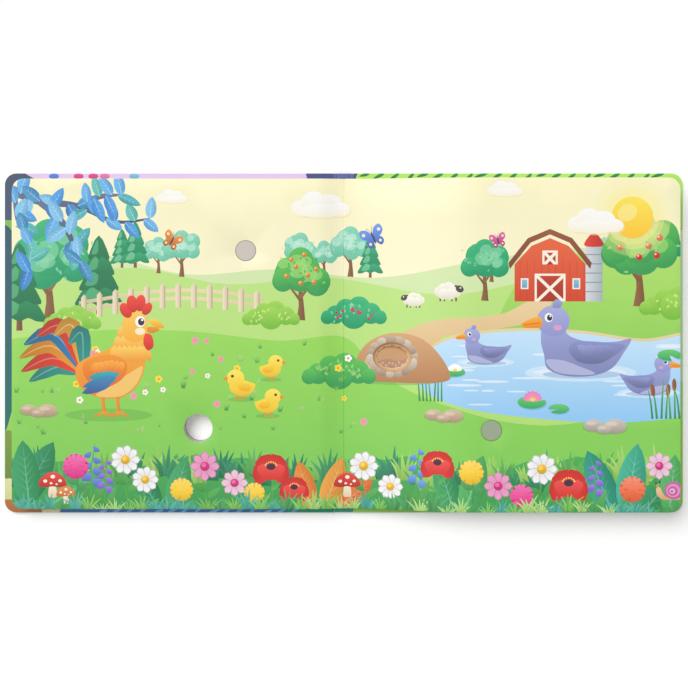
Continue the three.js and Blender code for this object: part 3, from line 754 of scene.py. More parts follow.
def butterfly(p, x, y, size, turn, tone, dots):
    """Two pairs of wings with a dot on each."""
    p.at(x, y, size, turn)
    for side in (-1, 1):
        hind = ((0, 0), (side * 7, -1), (side * 8.5, -6), (side * 4.5, -9), (side * 0.8, -4))
        fore = ((0, 1), (side * 3.5, 9), (side * 10, 11), (side * 11.5, 4.5), (side * 6, -0.4))
        p.tone(curve(*hind), tone, -0.1, -0.3)
        p.tone(curve(*fore), tone, 0.15, -0.12)
        p.lay(ellipse(side * 8, 6, 1.7, sides=12), dots)
        p.lay(ellipse(side * 5.2, -4.6, 1.4, sides=12), dots)
        p.lay(ribbon(((side * 0.2, 5), (side * 1.6, 9), (side * 3.6, 11.4)), 0.45, 0.3), "#3b2f3a")
    p.lay(ellipse(0, 0, 1.1, 6.2, sides=16), "#4a3a48")


def sheep(p, x, y, size, flip):
    """A fleece of lumps on four legs."""
    p.at(x, y, size, flip=flip)
    for a in (-7, -3, 4, 8):
        p.lay(ribbon(((a, 6), (a, 0)), 1.7, 1.5, step=2), "#5b4a4a")
    fleece = ((-8, 9, 5), (-4, 12, 5.4), (1, 13, 5.6), (6, 11, 5.2), (8, 8, 4.4), (2, 7, 5.6), (-4, 7, 5.4))
    for a, b, r in fleece:
        p.lay(ellipse(a, b, r, sides=18), "#fffdf2", "#e4ddc4")
    p.lay(ellipse(11.5, 12, 4, 3.3, -30), "#5b4a4a", "#42363a")
    p.lay(ellipse(8.6, 14.4, 2.4, 1.1, -20, 12), "#5b4a4a")
    p.lay(ellipse(12.2, 13, 0.8, sides=8), "#ffffff")


def barn(p, x, y, size):
    """A red barn with white door frames, and a silo behind it."""
    p.at(x, y, size)
    p.lay(plank(24, 0, 35, 36), "#d9dfe0", "#a9b5bb", 0)
    p.lay(curve((23.4, 36), (26, 42), (29.5, 44), (33, 42), (35.6, 36), step=4), "#e7493a", "#b8342d", 0)
    for k in range(1, 6):
        p.lay(plank(24, 6 * k, 35, 6 * k + 0.7), "#8f9ca3")
    p.lay([(-22, 0), (24, 0), (24, 24), (13, 36), (1, 41), (-11, 36), (-22, 24)], "#ea6a45", "#d4492f")
    for k in range(-4, 6):
        p.lay(plank(k * 4.6 - 0.25, 0, k * 4.6 + 0.25, 26), "#b93d28", alpha=0.45)
    roof = [(-25, 21), (-22, 25), (-11.6, 38), (1, 43.4), (13.6, 38), (24, 25), (27, 21), (28, 25),
            (15.4, 41), (1, 47), (-13.4, 41), (-26, 25)]
    p.lay(roof, "#9b5a3c", "#7a4330")
    for a, b, w, h in ((-9, 0, 20, 18), (-4, 24, 10, 9)):
        left, right, top = a + 1.4, a + w - 1.4, b + h - 1.4
        brace = [(left, b), (left + 1.4, b), (right, top - 1.4), (right, top), (right - 1.4, top),
                 (left, b + 1.4)]
        p.lay(plank(a, b, a + w, b + h), "#fff6e4")
        p.lay(plank(left, b, right, top), "#c2402e", "#a63425")
        for beam in (brace, [(left + right - x, y) for x, y in brace][::-1]):
            p.lay(beam, "#fff6e4")
    for a in (-18, 15.5):
        p.lay(plank(a, 8, a + 5, 15), "#fff6e4")
        p.lay(plank(a + 0.8, 8.8, a + 4.2, 14.2), "#8fc6dc", "#6aa6c4")


def fence(p, x0, x1, foot_at, high=13, tone="#f3dfb8"):
    """Two rails and a row of pointed posts that follow the ground."""
    p.at()
    for share in (0.35, 0.72):
        top = [(x, foot_at(x) + high * share + 1.1) for x in np.linspace(x0, x1, 12)]
        low = [(x, foot_at(x) + high * share - 1.1) for x in np.linspace(x1, x0, 12)]
        p.tone(top + low, tone, 0, -0.15)
    for x in np.arange(x0 + 3, x1, 9.5):
        foot, top = foot_at(x) - 1, foot_at(x) - 1 + high
        post = [(x - 1.7, foot), (x + 1.7, foot), (x + 1.7, top), (x, top + 2.2), (x - 1.7, top)]
        p.tone(post, tone, 0.25, -0.12, 0)
        edge = [(x + 0.9, foot), (x + 1.7, foot), (x + 1.7, top), (x + 0.9, top + 1)]
        p.lay(edge, shade(tone, -0.3), alpha=0.6)


def eye(p, x, y, r):
    """A white with a dark pupil and a glint."""
    p.lay(ellipse(x, y, r, r * 1.1, sides=18), "#ffffff")
    p.lay(ellipse(x + r * 0.2, y - r * 0.05, r * 0.66, r * 0.74, sides=16), "#2c2430")
    p.lay(ellipse(x + r * 0.38, y + r * 0.32, r * 0.24, sides=10), "#ffffff")


def rooster(p, x, y, size, flip=1):
    """A rooster: tail plumes, legs, body, neck feathers, wing, comb and beak."""
    p.at(x, y, size, flip=flip)
    p.lay(ellipse(0, 1, 27, 4), "#4c9a45", alpha=0.35)
    plumes = ((178, 27, "#2f9c8f"), (165, 33, "#f0452f"), (150, 38, "#f6a02c"), (136, 42, "#2b86b8"),
              (122, 42, "#f0452f"), (108, 38, "#f6b23c"), (95, 30, "#2f9c8f"))
    for turn, length, tone in plumes:
        c, s = aimed(turn)
        tip = (-15 + c * length - 7, 27 + s * length * 0.8 - 6)
        mid = (-15 + c * length * 0.62, 27 + s * length * 0.72 + 3)
        p.tone(ribbon(((-15, 27), mid, tip), 3, 9.5, 9, 1), tone, 0, -0.25, turn)
        p.lay(ribbon(((-16, 28), mid, tip), 0.4, 1.0, 0.2), shade(tone, 0.4), alpha=0.6)
    for a in (-3, 6):
        p.lay(ribbon(((a, 17), (a - 0.6, 9), (a + 0.6, 2)), 3.6, 2.4, 2.2), "#f0a13a", "#d07f26", 0)
        for toe in (-6, 0.5, 6.5):
            claw = ((a + 0.4, 2.6), (a + toe * 0.6, 1.4), (a + toe, -0.2))
            p.lay(ribbon(claw, 2.1, 1.0), "#f0a13a", "#d98a2b")
    body = curve((-20, 31), (-18, 19), (-7, 12), (8, 12), (18, 20), (22.5, 32), (22.5, 46), (24, 54),
                 (22.5, 62), (15.5, 65.5), (9.4, 61), (7, 51), (0, 42), (-10, 38))
    p.lay(body, "#ffc247", "#ee8a2a")
    p.lay(curve((-8, 13), (7, 12.5), (17, 20), (21, 31), (13, 27), (2, 20)), "#f7d27a", alpha=0.8)
    for row, (count, top) in enumerate(((5, 52), (6, 46), (7, 40))):
        for k in range(count):
            a = 8 - row * 2.2 + k * (15 + row * 3) / count
            p.lay(frond(a, top + 4, 11, 4.4, -97 + k * 5, 0.5, 0.7, 6), "#ffd766", "#f2932e", -97)
    head = curve((9.5, 61), (15.5, 65.5), (22.5, 62), (24, 54), (22, 48), (15, 46), (9, 50))
    p.lay(head, "#ffd25c", "#f9b03c")
    wing = curve((-16, 32), (-13, 22), (-2, 18), (9, 24), (11, 33), (3, 38), (-8, 37))
    p.lay(wing, "#f59a33", "#df6a2a")
    for k, (a, b, length) in enumerate(((8, 30, 17), (7, 27, 20), (5, 24, 22), (2, 21.5, 20))):
        tone = ("#2f9c8f", "#35a9b2", "#2b86b8", "#3c6fae")[k]
        p.tone(frond(a, b, length, 6, 183 + k * 6, 0.5, 0.7, 7), tone, 0.1, -0.15)
    for k in range(6):
        p.lay(frond(9 - k * 3.2, 35 - abs(k - 2) * 0.5, 8.5, 4.6, 238, 0.5, 0.6, 6), "#ffb443", "#e8702b", 238)
    for a, b, w, h, turn in ((10.5, 65.5, 3.4, 5.0, 30), (14.5, 69.5, 3.4, 5.4, 10),
                             (19.5, 70, 3.2, 5.2, -10), (23.6, 66.5, 2.8, 4.2, -32)):
        p.lay(ellipse(a, b, w, h, turn, 18), "#f4503f", "#cf2c2c")
    p.lay(curve((22.4, 51), (26.5, 50), (27.6, 43.5), (24.2, 40.8), (21.4, 45)), "#f4503f", "#cf2c2c")
    p.lay(curve((24, 59.5), (29, 60), (34.4, 55), (28.6, 55.2), step=4), "#ffd94f", "#f0a02c")
    p.lay(curve((24, 55.2), (28.6, 55.2), (31.4, 53.6), (27.4, 51.6), (24, 52.4), step=4),
          "#f0a02c", "#d98322")
    p.lay(ellipse(19.3, 52.6, 3.2, 2.2, 0, 16), "#fff0cf")
    eye(p, 19.4, 58.6, 3.1)


def duck(p, x, y, size, flip=1, tone="#989fd8"):
    """A duck on its ring of ripples: body, head, wing, quills, bill and cheek."""
    p.at(x, y, size, flip=flip)
    for wide, high, alpha in ((34, 5.5, 0.5), (28, 3.6, 0.55)):
        p.lay(ellipse(1, -4.5, wide, high, sides=30), "#e9f6ff", alpha=alpha)
    p.lay(ellipse(2, -5.6, 24, 2.6, sides=26), "#6f9fd2", alpha=0.5)
    body = curve((-21, 6), (-19, -2), (-8, -6.5), (8, -6.5), (20, -2), (27, 7), (32, 16), (24, 14.5), (14, 14),
                 (2, 15), (-7, 19), (-9, 26), (-21, 24), (-23, 15))
    p.tone(body, tone, 0.12, -0.16)
    p.tone(ellipse(-15.5, 27, 10, 9.4, 0, 28), tone, 0.2, -0.04)
    p.lay(curve((-20, 3), (-14, -4), (0, -6), (10, -5), (0, -0.5), (-10, 3)), shade(tone, 0.42), alpha=0.7)
    wing = curve((-6, 9), (0, 2), (12, 1), (22, 6), (28, 12), (18, 13.6), (6, 14.6), (-3, 14))
    p.tone(wing, tone, -0.05, -0.3)
    for k in range(4):
        quill = frond(-1 + k * 5, 12 - k * 0.3, 12 - k, 5, -32 + k * 4, 0.6, 0.6, 7)
        p.tone(quill, tone, 0.06 - 0.03 * k, -0.22)
    bill = curve((-23, 29), (-28, 28.6), (-34.5, 25.4), (-33, 22.8), (-27, 22.6), (-22.4, 23.4))
    p.lay(bill, "#ffb53a", "#ef8a28")
    p.lay(ribbon(((-23.4, 25.8), (-28.5, 25.2), (-33, 24.6)), 0.5, 0.4), "#c9681c")
    p.lay(ellipse(-12.8, 22.8, 2.6, 1.7, sides=16), "#f2a5c4", alpha=0.75)
    eye(p, -18.2, 29, 2.5)
    p.tone(curve((-16, 35.4), (-14, 40), (-10, 38.4), (-11.4, 35), step=4), tone, 0.12, -0.1)


def chick(p, x, y, size, flip=1):
    """A chick: legs, body, head, wing and beak."""
    p.at(x, y, size, flip=flip)
    p.lay(ellipse(0, 0.4, 7, 1.3), "#4c9a45", alpha=0.4)
    for a in (-1.4, 1.8):
        p.lay(ribbon(((a, 4), (a, 0.6)), 0.8, 0.7, step=2), "#f08c2c")
        p.lay(ribbon(((a - 0.4, 0.5), (a + 2.2, 0.2)), 0.9, 0.4, step=2), "#f08c2c")
    body = curve((-7.5, 8), (-5, 3.4), (1, 2.4), (5.6, 5), (5.6, 9), (0, 10.6), (-4.6, 9.4))
    p.lay(body, "#ffe64d", "#f6bd30")
    p.lay(ellipse(3, 11.6, 4.7, 4.5, sides=20), "#ffec66", "#fbd03d")
    p.lay(frond(2, 7.4, 7.5, 4.2, 190, 0.5, 0.5, 6), "#fbd23c", "#eeb02a")
    p.lay([(7.2, 12.4), (10.2, 11.2), (7.2, 10.2)], "#f4882b")
    p.lay(ellipse(4.6, 12.6, 0.8, sides=10), "#2c2430")


def lily(p, x, y, size, turn, flower=None):
    """A lily pad with its notch, and perhaps a flower on it."""
    p.at(x, y, size)
    pad = [(0, 0)] + [(9 * c, 4.2 * s) for c, s in map(aimed, range(turn + 18, turn + 343, 18))]
    p.lay([(a + 0.5, b - 0.9) for a, b in pad], "#6fb3d9", alpha=0.7)
    p.lay(pad, "#6fce72", "#35a860")
    if flower:
        for k in range(7):
            ang = 15 + 25 * k
            p.lay(frond(0.5, 1, 6.4, 2.6, ang, 0.8, 0.5, 6), shade(flower, 0.3), flower, ang)
        p.lay(ellipse(0.5, 1.6, 1.8, 1.2, sides=12), "#ffd84a")


def reeds(p, x, y, size, seed):
    """Seven stems, every other one with a brown head."""
    rng = random.Random(seed)
    p.at(x, y, size)
    for k in range(7):
        a, high, lean = -9 + 3 * k, rng.uniform(20, 34), rng.uniform(-4, 4)
        p.lay(ribbon(((a, 0), (a + lean * 0.4, high * 0.6), (a + lean, high)), 1.5, 1.0, 0.2, step=4),
              rng.choice(("#4fae58", "#3b9a5b", "#78c25c")), "#2f8a4c")
        if k % 2:
            p.lay(ellipse(a + lean * 0.75, high * 0.86, 1.5, 4.2, -lean * 2, 14), "#a4683a", "#7c4a2a", 0)


def stones(p, x, y, size, tone="#d6b999"):
    """Three stones with a glint on each."""
    p.at(x, y, size)
    for a, b, w, h in ((-8, 0, 6.5, 4.2), (6, -0.6, 8, 5), (-1, -2.6, 5, 3)):
        p.lay(ellipse(a, b - 1.2, w + 0.6, h * 0.8), "#4e8f47", alpha=0.4)
        p.tone(ellipse(a, b, w, h), tone, 0.1, -0.22)
        p.lay(ellipse(a - w * 0.25, b + h * 0.35, w * 0.5, h * 0.3), shade(tone, 0.4), alpha=0.6)


def snail(p, x, y, size, flip=1):
    """A snail with a shell of rings."""
    p.at(x, y, size, flip=flip)
    p.lay(curve((-13, 0), (-6, 2.2), (6, 2.4), (10, 7), (13, 12), (16.4, 11), (15.6, 5), (11, 0.4), (0, -0.6)),
          "#f3c9a0", "#d99f74")
    for a, b in ((13.2, 17), (16.6, 16)):
        p.lay(ribbon(((14.6, 10.6), (a, b)), 0.9, 0.6, step=2), "#e6b387")
        p.lay(ellipse(a, b, 1, sides=10), "#2c2430")
    for r, tone in ((9.2, "#c05aa0"), (7, "#e58cc0"), (4.9, "#c05aa0"), (2.9, "#f2b3d8"), (1.2, "#a8468a")):
        coil = ellipse(-1 + (9.2 - r) * 0.22, 9 - (9.2 - r) * 0.12, r, r * 0.96, sides=26)
        p.tone(coil, tone, 0.1, 0)


def branch(p, x, y, size, seed):
    """A blue-leaved branch that reaches in from the left."""
    rng = random.Random(seed)
    p.at(x, y, size)
    bark = "#4d5f86"
    limbs = [((-30, 26), (-8, 17), (16, 14), (40, 4), (62, 6)), ((-8, 17), (6, 4), (14, -12), (18, -22)),
             ((16, 14), (30, 20), (44, 21)), ((-24, 24), (-22, 6), (-14, -10), (-15, -28))]
    for k, limb in enumerate(limbs):
        p.tone(ribbon(limb, 6.5 - 1.2 * k, 3.6, 1.0), bark, 0.14, -0.22)
    blues = ("#3f9bea", "#5db4f2", "#3fb0b8", "#52c2b4", "#2f86d2", "#7cc8f4", "#3a93c9")
    for limb in limbs:
        path = curve(*limb, closed=False, step=4)[2:]
        for k, (a, b) in enumerate(path):
            turn = rng.uniform(200, 340) if k % 2 else rng.uniform(20, 160)
            tone = rng.choice(blues)
            veined(p, a, b, rng.uniform(12, 17), rng.uniform(6, 8), turn, tone, shade(tone, 0.45), 3)


def burrow(p, x, y, hole):
    """A mound of earth with stones round its opening, the oval window, whose tan rim has painted shade at its
    upper left.
    """
    p.at(x, y)
    p.lay(ellipse(2, -11, 34, 6), "#5fae4c", alpha=0.5)
    mound = curve((-24, -13), (-22, -2), (-14, 9), (0, 14.5), (16, 12), (27, 3), (34, -9), (30, -14.5),
                  (4, -15.5))
    p.lay(mound, "#d9a878", "#b57f54")
    p.lay(curve((-18, -10), (-13, 4), (-2, 10.5), (10, 10), (0, 4), (-8, -4)), "#ecc79a", alpha=0.7)
    for k in range(15):
        c, s = aimed(24 * k)
        w = 3.3 + 0.9 * math.sin(5 * k)
        tone = ("#c9b39a", "#b99f86", "#d8c6ae")[k % 3]
        stone = ellipse((hole[0] + 3.4) * c, (hole[1] + 3.4) * s, w, 2.5, 24 * k + 90, 14)
        p.tone(stone, tone, 0.18, -0.2)
    # Painted shade: the tan rim round the window is dark at its upper left and pale at its lower right.
    p.lay(ellipse(0, 0, hole[0] + 1.9, hole[1] + 1.9, sides=40), "#8f6238", "#c8965f", -60)
    p.lay(ellipse(0.2, -0.3, hole[0] + 1.2, hole[1] + 1.1, sides=40), "#b98450", "#dcae78", -60)


def ground(*crest, step=8):
    """A hill or lawn: everything below its crest, out past the foot of the page."""
    return curve(*crest, (230, -120), (-230, -120), step=step)


def far_land():
    """A new design with the sky's paper, the hills and the small trees on them."""
    p = Print()
    p.lay(plank(-215, -110, 215, 110), "#fdf6c8", "#fffbe2")
    far_hill = ((-230, 20), (-200, 46), (-150, 54), (-95, 42), (-40, 45), (20, 40), (80, 50), (140, 58),
                (190, 50), (230, 56))
    near_hill = ((-230, 10), (-190, 34), (-130, 46), (-70, 36), (-10, 40), (60, 30), (120, 40), (180, 46),
                 (230, 36))
    p.lay(ground(*far_hill), "#d9ecb4", "#c3e596")
    p.lay(ground(*near_hill), "#c2e787", "#a5da68")
    for x, y, s, k in ((-112, 43, 0.36, 1), (-98, 41, 0.46, 2), (-26, 42, 0.42, 3), (-12, 42, 0.34, 4),
                       (4, 41, 0.5, 5), (176, 47, 0.42, 6), (160, 46, 0.34, 7), (88, 38, 0.36, 8)):
        round_tree(p, x, y, s, GREENS["mint"], k)
    for x, y, s in ((-134, 46, 0.42), (-126, 46, 0.5), (16, 40, 0.45), (190, 45, 0.5), (198, 44, 0.4)):
        pine(p, x, y, s, GREENS["cool"])
    meadow_edge = ((-230, -4), (-180, 22), (-110, 26), (-60, 14), (0, 22), (50, 18), (100, 28), (160, 22),
                   (230, 30))
    p.lay(ground(*meadow_edge), "#b6e36f", "#8fd05a")
    return p


def fence_foot(x):
    """How high the meadow lies under the fence."""
    return 17 + 6 * math.sin((x + 150) / 34)


def farmyard(p):
    """The barn at the end of its lane, with the near trees, the sheep and the fence."""
    p.at()
    lane = curve((112, 27), (124, 26), (112, 14), (80, 8), (58, 4), (66, -4), (56, -9), (32, 2), (52, 14),
                 (92, 18), step=8)
    p.lay(lane, "#f0d6a4", "#dfb883")
    barn(p, 122, 26, 0.92)
    round_tree(p, 176, 24, 0.95, GREENS["leafy"], 21, fruit="#ee3b35")
    round_tree(p, 84, 27, 0.6, GREENS["cool"], 22)
    sheep(p, 62, 26, 0.62, 1)
    sheep(p, 42, 22, 0.5, -1)
    round_tree(p, -178, 14, 1.02, GREENS["cool"], 23)
    round_tree(p, -26, 15, 0.72, GREENS["leafy"], 24, fruit="#f6a02c")
    pine(p, -148, 18, 0.85, GREENS["deep"])
    pine(p, -196, 8, 0.95, GREENS["deep"])
    bush(p, 6, 14, 0.8, GREENS["cool"], 25, "#e0457a")
    bush(p, 196, 20, 0.8, GREENS["lime"], 26)
    fence(p, -160, -48, fence_foot)
    for x, s, tones, seed in ((-164, 0.7, "lime", 27), (-44, 0.7, "lime", 28)):
        bush(p, x, fence_foot(x) - 4, s, GREENS[tones], seed)


def pond(p, rng):
    """The near lawn and the pond in it: glints, ducks, lilies and reeds, and the burrow on its bank."""
    p.at()
    lawn_edge = ((-230, -14), (-170, 6), (-100, 8), (-40, 2), (0, 4), (22, -18), (60, -36), (120, -48),
                 (230, -40))
    p.lay(ground(*lawn_edge), "#9bdb5e", "#6fc257")
    shore = curve((44, -14), (60, 2), (96, 8), (140, 7), (178, 2), (214, 4), (216, -36), (170, -46),
                  (118, -44), (74, -38), (48, -28), step=8)
    p.lay(shore + np.array([0, 1.8]), "#e9d9a6", "#cdb27c")
    p.lay(shore, "#c9e8ff", "#93cbf5")
    for k in range(26):
        a, b = rng.uniform(60, 196), rng.uniform(-36, 0)
        p.lay(ellipse(a, b, rng.uniform(4, 11), rng.uniform(0.5, 0.9), sides=14), "#ffffff", alpha=0.55)
    duck(p, 140, -12, 0.98)
    duck(p, 84, -8, 0.5)
    duck(p, 182, -26, 0.55, -1)
    lily(p, 112, -34, 0.95, 40, "#f27fb5")
    lily(p, 128, -38, 0.7, 200)
    lily(p, 66, -16, 0.7, 120, "#ffffff")
    lily(p, 194, -6, 0.8, 300)
    reeds(p, 192, -44, 0.9, 31)
    reeds(p, 52, -34, 0.72, 32)
    burrow(p, 29.2, -7.8, (9.75, 7))
    bush(p, -3, -22, 0.9, GREENS["leafy"], 33)
    stones(p, 60, -42, 0.8)
    stones(p, 156, -48, 0.9, "#cfc3b4")


def pasture(p, rng):
    """The rooster and its chicks, among tufts of grass and small flowers."""
    for k in range(46):
        a, b = rng.uniform(-200, 10), rng.uniform(-56, 0)
        grass(p, a, b, rng.uniform(0.28, 0.5), rng.choice(("#5fb54c", "#7fce55", "#b4e57c")), 100 + k, 4)
    for k in range(22):
        a, b = rng.uniform(-200, 34), rng.uniform(-52, 2)
        p.at(a, b, rng.uniform(0.8, 1.2))
        tone = rng.choice(("#ffffff", "#ffe14d", "#f49ac1"))
        for q in range(5):
            p.lay(ellipse(1.2 * math.cos(q * 1.2566), 1.2 * math.sin(q * 1.2566), 0.85, sides=8), tone)
        p.lay(ellipse(0, 0, 0.7, sides=8), "#f6a02c")
    rooster(p, -142, -44, 0.98)
    chick(p, -62, -34, 1.15, -1)
    chick(p, -44, -22, 0.95)
    chick(p, -46, -44, 1.05, 1)
    stones(p, -184, -40, 0.8)


def sky(p):
    """The sun, the clouds, the branch and the butterflies."""
    sun(p, 172, 76)
    cloud(p, 150, 72, 0.8)
    cloud(p, -14, 82, 0.85)
    cloud(p, 96, 92, 0.5)
    cloud(p, -104, 88, 0.45)
    branch(p, -176, 70, 0.95, 41)
    butterfly(p, 18, 64, 0.62, 24, "#5b8def", "#fff2a8")
    butterfly(p, -104, 62, 0.5, -28, "#f08a3c", "#fff2a8")
    butterfly(p, 92, 62, 0.42, 14, "#e35aa8", "#fff2a8")


def border(p):
    """The bed of flowers along the foot of both pages."""
    rng = random.Random(51)
    p.at()
    top = [(x, -72 + 4 * math.sin(x / 17) + 2 * math.sin(x / 5.3)) for x in range(-215, 216, 6)]
    p.lay(top + [(215, -115), (-215, -115)], "#4fae55", "#2f8a4f")
    for k in range(64):
        grass(p, -204 + 6.5 * k, -84 + rng.uniform(-5, 5), rng.uniform(1.1, 1.9),
              rng.choice(("#4fae4a", "#79c84f", "#2f9558", "#a2d95e", "#1f8257")), 200 + k, 7)
    big = ((-196, -98, 44, 18, 62, "#1f8a52"), (-190, -98, 40, 17, 96, "#2b9a5a"),
           (-178, -98, 38, 16, 34, "#47ad56"), (-112, -100, 30, 13, 118, "#1f8a52"),
           (-104, -100, 33, 14, 74, "#36a15b"), (-20, -100, 30, 13, 104, "#f28a30"),
           (-12, -100, 33, 13, 70, "#f6a23a"), (-4, -100, 28, 12, 40, "#e8702b"),
           (66, -100, 34, 14, 108, "#2b9a5a"), (72, -100, 36, 15, 72, "#47ad56"),
           (160, -100, 40, 17, 112, "#1f9a7a"), (168, -100, 42, 17, 80, "#34b08a"),
           (178, -100, 38, 16, 50, "#1f8a52"), (194, -99, 34, 14, 84, "#47ad56"))
    for x, y, length, width, turn, tone in big:
        p.at()
        veined(p, x, y, length, width, turn, tone, shade(tone, 0.35))
    bells(p, -152, -86, 1.15, "#5f7fe0")
    bells(p, -144, -90, 0.95, "#8a6fe0")
    bells(p, 44, -86, 1.1, "#5f9bea")
    bells(p, 150, -90, 1.0, "#8a6fe0")
    for x, y, s in ((-132, -70, 1.05), (-120, -82, 0.95), (12, -74, 1.05), (28, -86, 0.9), (118, -74, 1.1)):
        daisy(p, x, y, s)
    for x, y, s, tone in ((-84, -74, 1.05, "#f7a6cf"), (-66, -84, 0.95, "#fbd0e4"), (92, -84, 1.0, "#f7a6cf"),
                          (188, -72, 0.95, "#fbd0e4")):
        daisy(p, x, y, s, tone, "#e8388c", 8)
    for x, y, s in ((-44, -76, 1.05), (-30, -88, 0.85), (134, -84, 1.1), (56, -72, 0.95)):
        poppy(p, x, y, s)
    for x, y, s, tone in ((-162, -74, 1.0, "#ee3f93"), (-98, -88, 0.9, "#ffcf2e"), (-54, -90, 0.8, "#ffcf2e"),
                          (76, -76, 0.95, "#ffcf2e"), (106, -90, 0.9, "#ee3f93"), (172, -86, 1.0, "#f2683c")):
        pompom(p, x, y, s, tone, round(x))
    mushroom(p, -176, -92, 0.95)
    mushroom(p, -168, -96, 0.65, "#f08a3c")
    mushroom(p, 2, -92, 0.9)
    snail(p, 196, -92, 0.6, -1)
    for k in range(52):
        grass(p, -202 + 8 * k, -101 + rng.uniform(-2, 2), rng.uniform(0.8, 1.2),
              rng.choice(("#7fce55", "#3f9f50", "#b4e57c", "#4bb5a0")), 300 + k, 6, 70)


def whole():
    """The whole spread, from the far hills to the flowers in front."""
    p = far_land()
    rng = random.Random(11)
    farmyard(p)
    pond(p, rng)
    pasture(p, rng)
    sky(p)
    border(p)
    return p


# The two covers. Each is greyboard, die-cut with the peep hole or the module's window, and wrapped in printed
# paper: a wrap on the outside, and a lining on the inside that shows only round the edge of the pages.
cover_low, cover_high = (np.array(corner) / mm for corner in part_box("back_cover"))
peep_hole = (-88.0, -51.0, 8.75)
module_window = (118.4, 183.4, -57.0, -8.3)
window_corner = 3
cover_corner = 7.0
tile = 24
wrap_rim = [(0.06, 0.03), (0.06, 1.31)]


def board_outline(side, inner, outer, high, radius, steps=8):
    """Half of the open book: square at the spine, round at its two outer corners."""
    corner = np.linspace(0, math.pi / 2, steps + 1)
    across = outer - radius + radius * np.cos(corner)
    up = high - radius + radius * np.sin(corner)
    upper = np.column_stack((across, up))
    return np.vstack(([(inner, -high)], (upper * (1, -1))[::-1], upper, [(inner, high)])) * (side, 1)


def steps_between(low, high):
    """Tile edges that reach a little past a sheet."""
    return np.linspace(low - 1, high + 1, max(2, round((high - low) / tile) + 1))


def box_round(outline, room=0.5):
    """The box round an outline, with a little room."""
    spots = np.asarray(outline)
    return (*(spots.min(0) - room), *(spots.max(0) + room))


def dress(finish, *names):
    """Gives a material to solids of the CAD model."""
    for name in names:
        for held in nodes[name].material_slots:
            held.material = finish


def board_core(name, pale, plies):
    """Cut board: grey-white fibre in thin layers, with a soft torn tooth."""
    finish = Finish(name, {"Roughness": 0.85, "Specular IOR Level": 0.2})
    fibre = finish.noise(900, (1, 1, 5), detail=6)
    layer = finish.noise(plies, (0.02, 0.02, 1), detail=2)
    dark = [c * 0.72 for c in pale]
    finish.send(finish.ramp(layer * 0.6 + fibre * 0.4, (0.3, dark), (0.62, pale)), "Base Color")
    finish.bump(fibre * 0.6 + layer * 0.4, 0.35, 0.08 * mm)
    return finish.material


greyboard = board_core("greyboard", (0.50, 0.46, 0.39), 2400)
cover_ink = coated_print("cover_print", 0.38)
dress(greyboard, "front_cover", "back_cover")

lining = Print()
cover_sheet = plank(-212, -108, 212, 108)
lining.lay(cover_sheet, "#b4e86a", "#8fc455")
for outline, first, second in (
    (curve((-214, 112), (-214, 72), (-203, 75), (-196, 92), (-184, 98), (-186, 112)), "#33405c", "#3f5170"),
    (curve((-214, 73), (-200, 74), (-199, 62), (-214, 62)), "#7cbd4d", "#6aa842"),
    (curve((-214, 62), (-199, 62), (-198, 20), (-200, -30), (-214, -60)), "#2d4f66", "#27706c"),
    (curve((-214, -58), (-199, -56), (-198, -84), (-214, -86)), "#7f9b45", "#66843a"),
    (curve((-214, -85), (-198, -84), (-196, -97), (-214, -99)), "#dfe0a8", "#cdd08e"),
    (curve((-214, -97), (-196, -96), (-180, -98), (-180, -110), (-214, -110)), "#b5723f", "#9c5f35"),
    (curve((-184, 112), (-184, 98), (-150, 97), (-110, 99), (-60, 97), (-20, 98), (-18, 112)),
     "#ecd2f2", "#d9bfe6"),
    (curve((-20, 112), (-20, 97), (5, 98), (6, 112)), "#4a5290", "#3d4480"),
    (curve((-183, -97), (-172, -97), (-172, -110), (-183, -110)), "#e3d6b4", "#cdbf9c"),
    (curve((-172, -97), (-162, -97), (-162, -110), (-172, -110)), "#8a7a6c", "#74675c"),
    (curve((-162, -97), (-100, -98), (-30, -97), (-30, -110), (-162, -110)), "#3c70ac", "#2f5f9c"),
    (curve((-32, -97), (-5, -97), (-5, -110), (-32, -110)), "#198f72", "#13805f"),
    (curve((200, 60), (214, 60), (214, -20), (200, -10)), "#cfeec0", "#b9dfa6"),
):
    lining.lay(outline, first, second)
for x, tone in ((-177, "#4f86e6"), (-162, "#e83f92"), (-153, "#e83f92"), (-146, "#f07ab4"), (-128, "#7fc5ee")):
    lining.lay(ellipse(x, 101.8, 3.1, 1.7), tone, shade(tone, -0.2))
for k in range(21):
    x = 16 + 9 * k
    lining.lay(frond(x, 103.6, 7 + k % 3, 2.0, 196 + 9 * (k % 4)), "#2f8f4e", "#1f7440")
for k in range(15):
    x = -150 + 8.4 * k
    lining.lay(frond(x, -104, 6 + k % 3, 1.8, 18 + 8 * (k % 4)), "#7fb3e0", "#5b93cc")

wrap = Print()
wrap.lay(cover_sheet, "#fdf3bd", "#fffbe2")
upper_field = ((-230, 8), (-150, 40), (-60, 22), (20, 38), (110, 24), (230, 44))
lower_field = ((-230, -30), (-140, -4), (-50, -20), (30, -2), (130, -24), (230, -2))
wrap.lay(ground(*upper_field, step=5), "#c5e88c", "#a4d968")
wrap.lay(ground(*lower_field, step=5), "#96d65c", "#63b552")
sun(wrap, -160, 66)
for x, y, size in ((-60, 76, 1.0), (70, 80, 0.9), (165, 68, 0.8)):
    cloud(wrap, x, y, size)
orchard = ((-172, 12, 1.1, "leafy", 61), (-40, 8, 1.0, "cool", 62), (60, 14, 1.1, "lime", 63),
           (176, 12, 1.0, "leafy", 64))
for x, y, size, tones, seed in orchard:
    round_tree(wrap, x, y, size, GREENS[tones], seed, fruit="#ee3b35")
for k in range(14):
    x = -196 + 30 * k
    (daisy, poppy)[k % 2](wrap, x, -62 + 7 * (k % 3), 1.25)
    bush(wrap, x + 14, -100, 1.0, GREENS["cool" if k % 2 else "leafy"], 70 + k, "#f2683c")

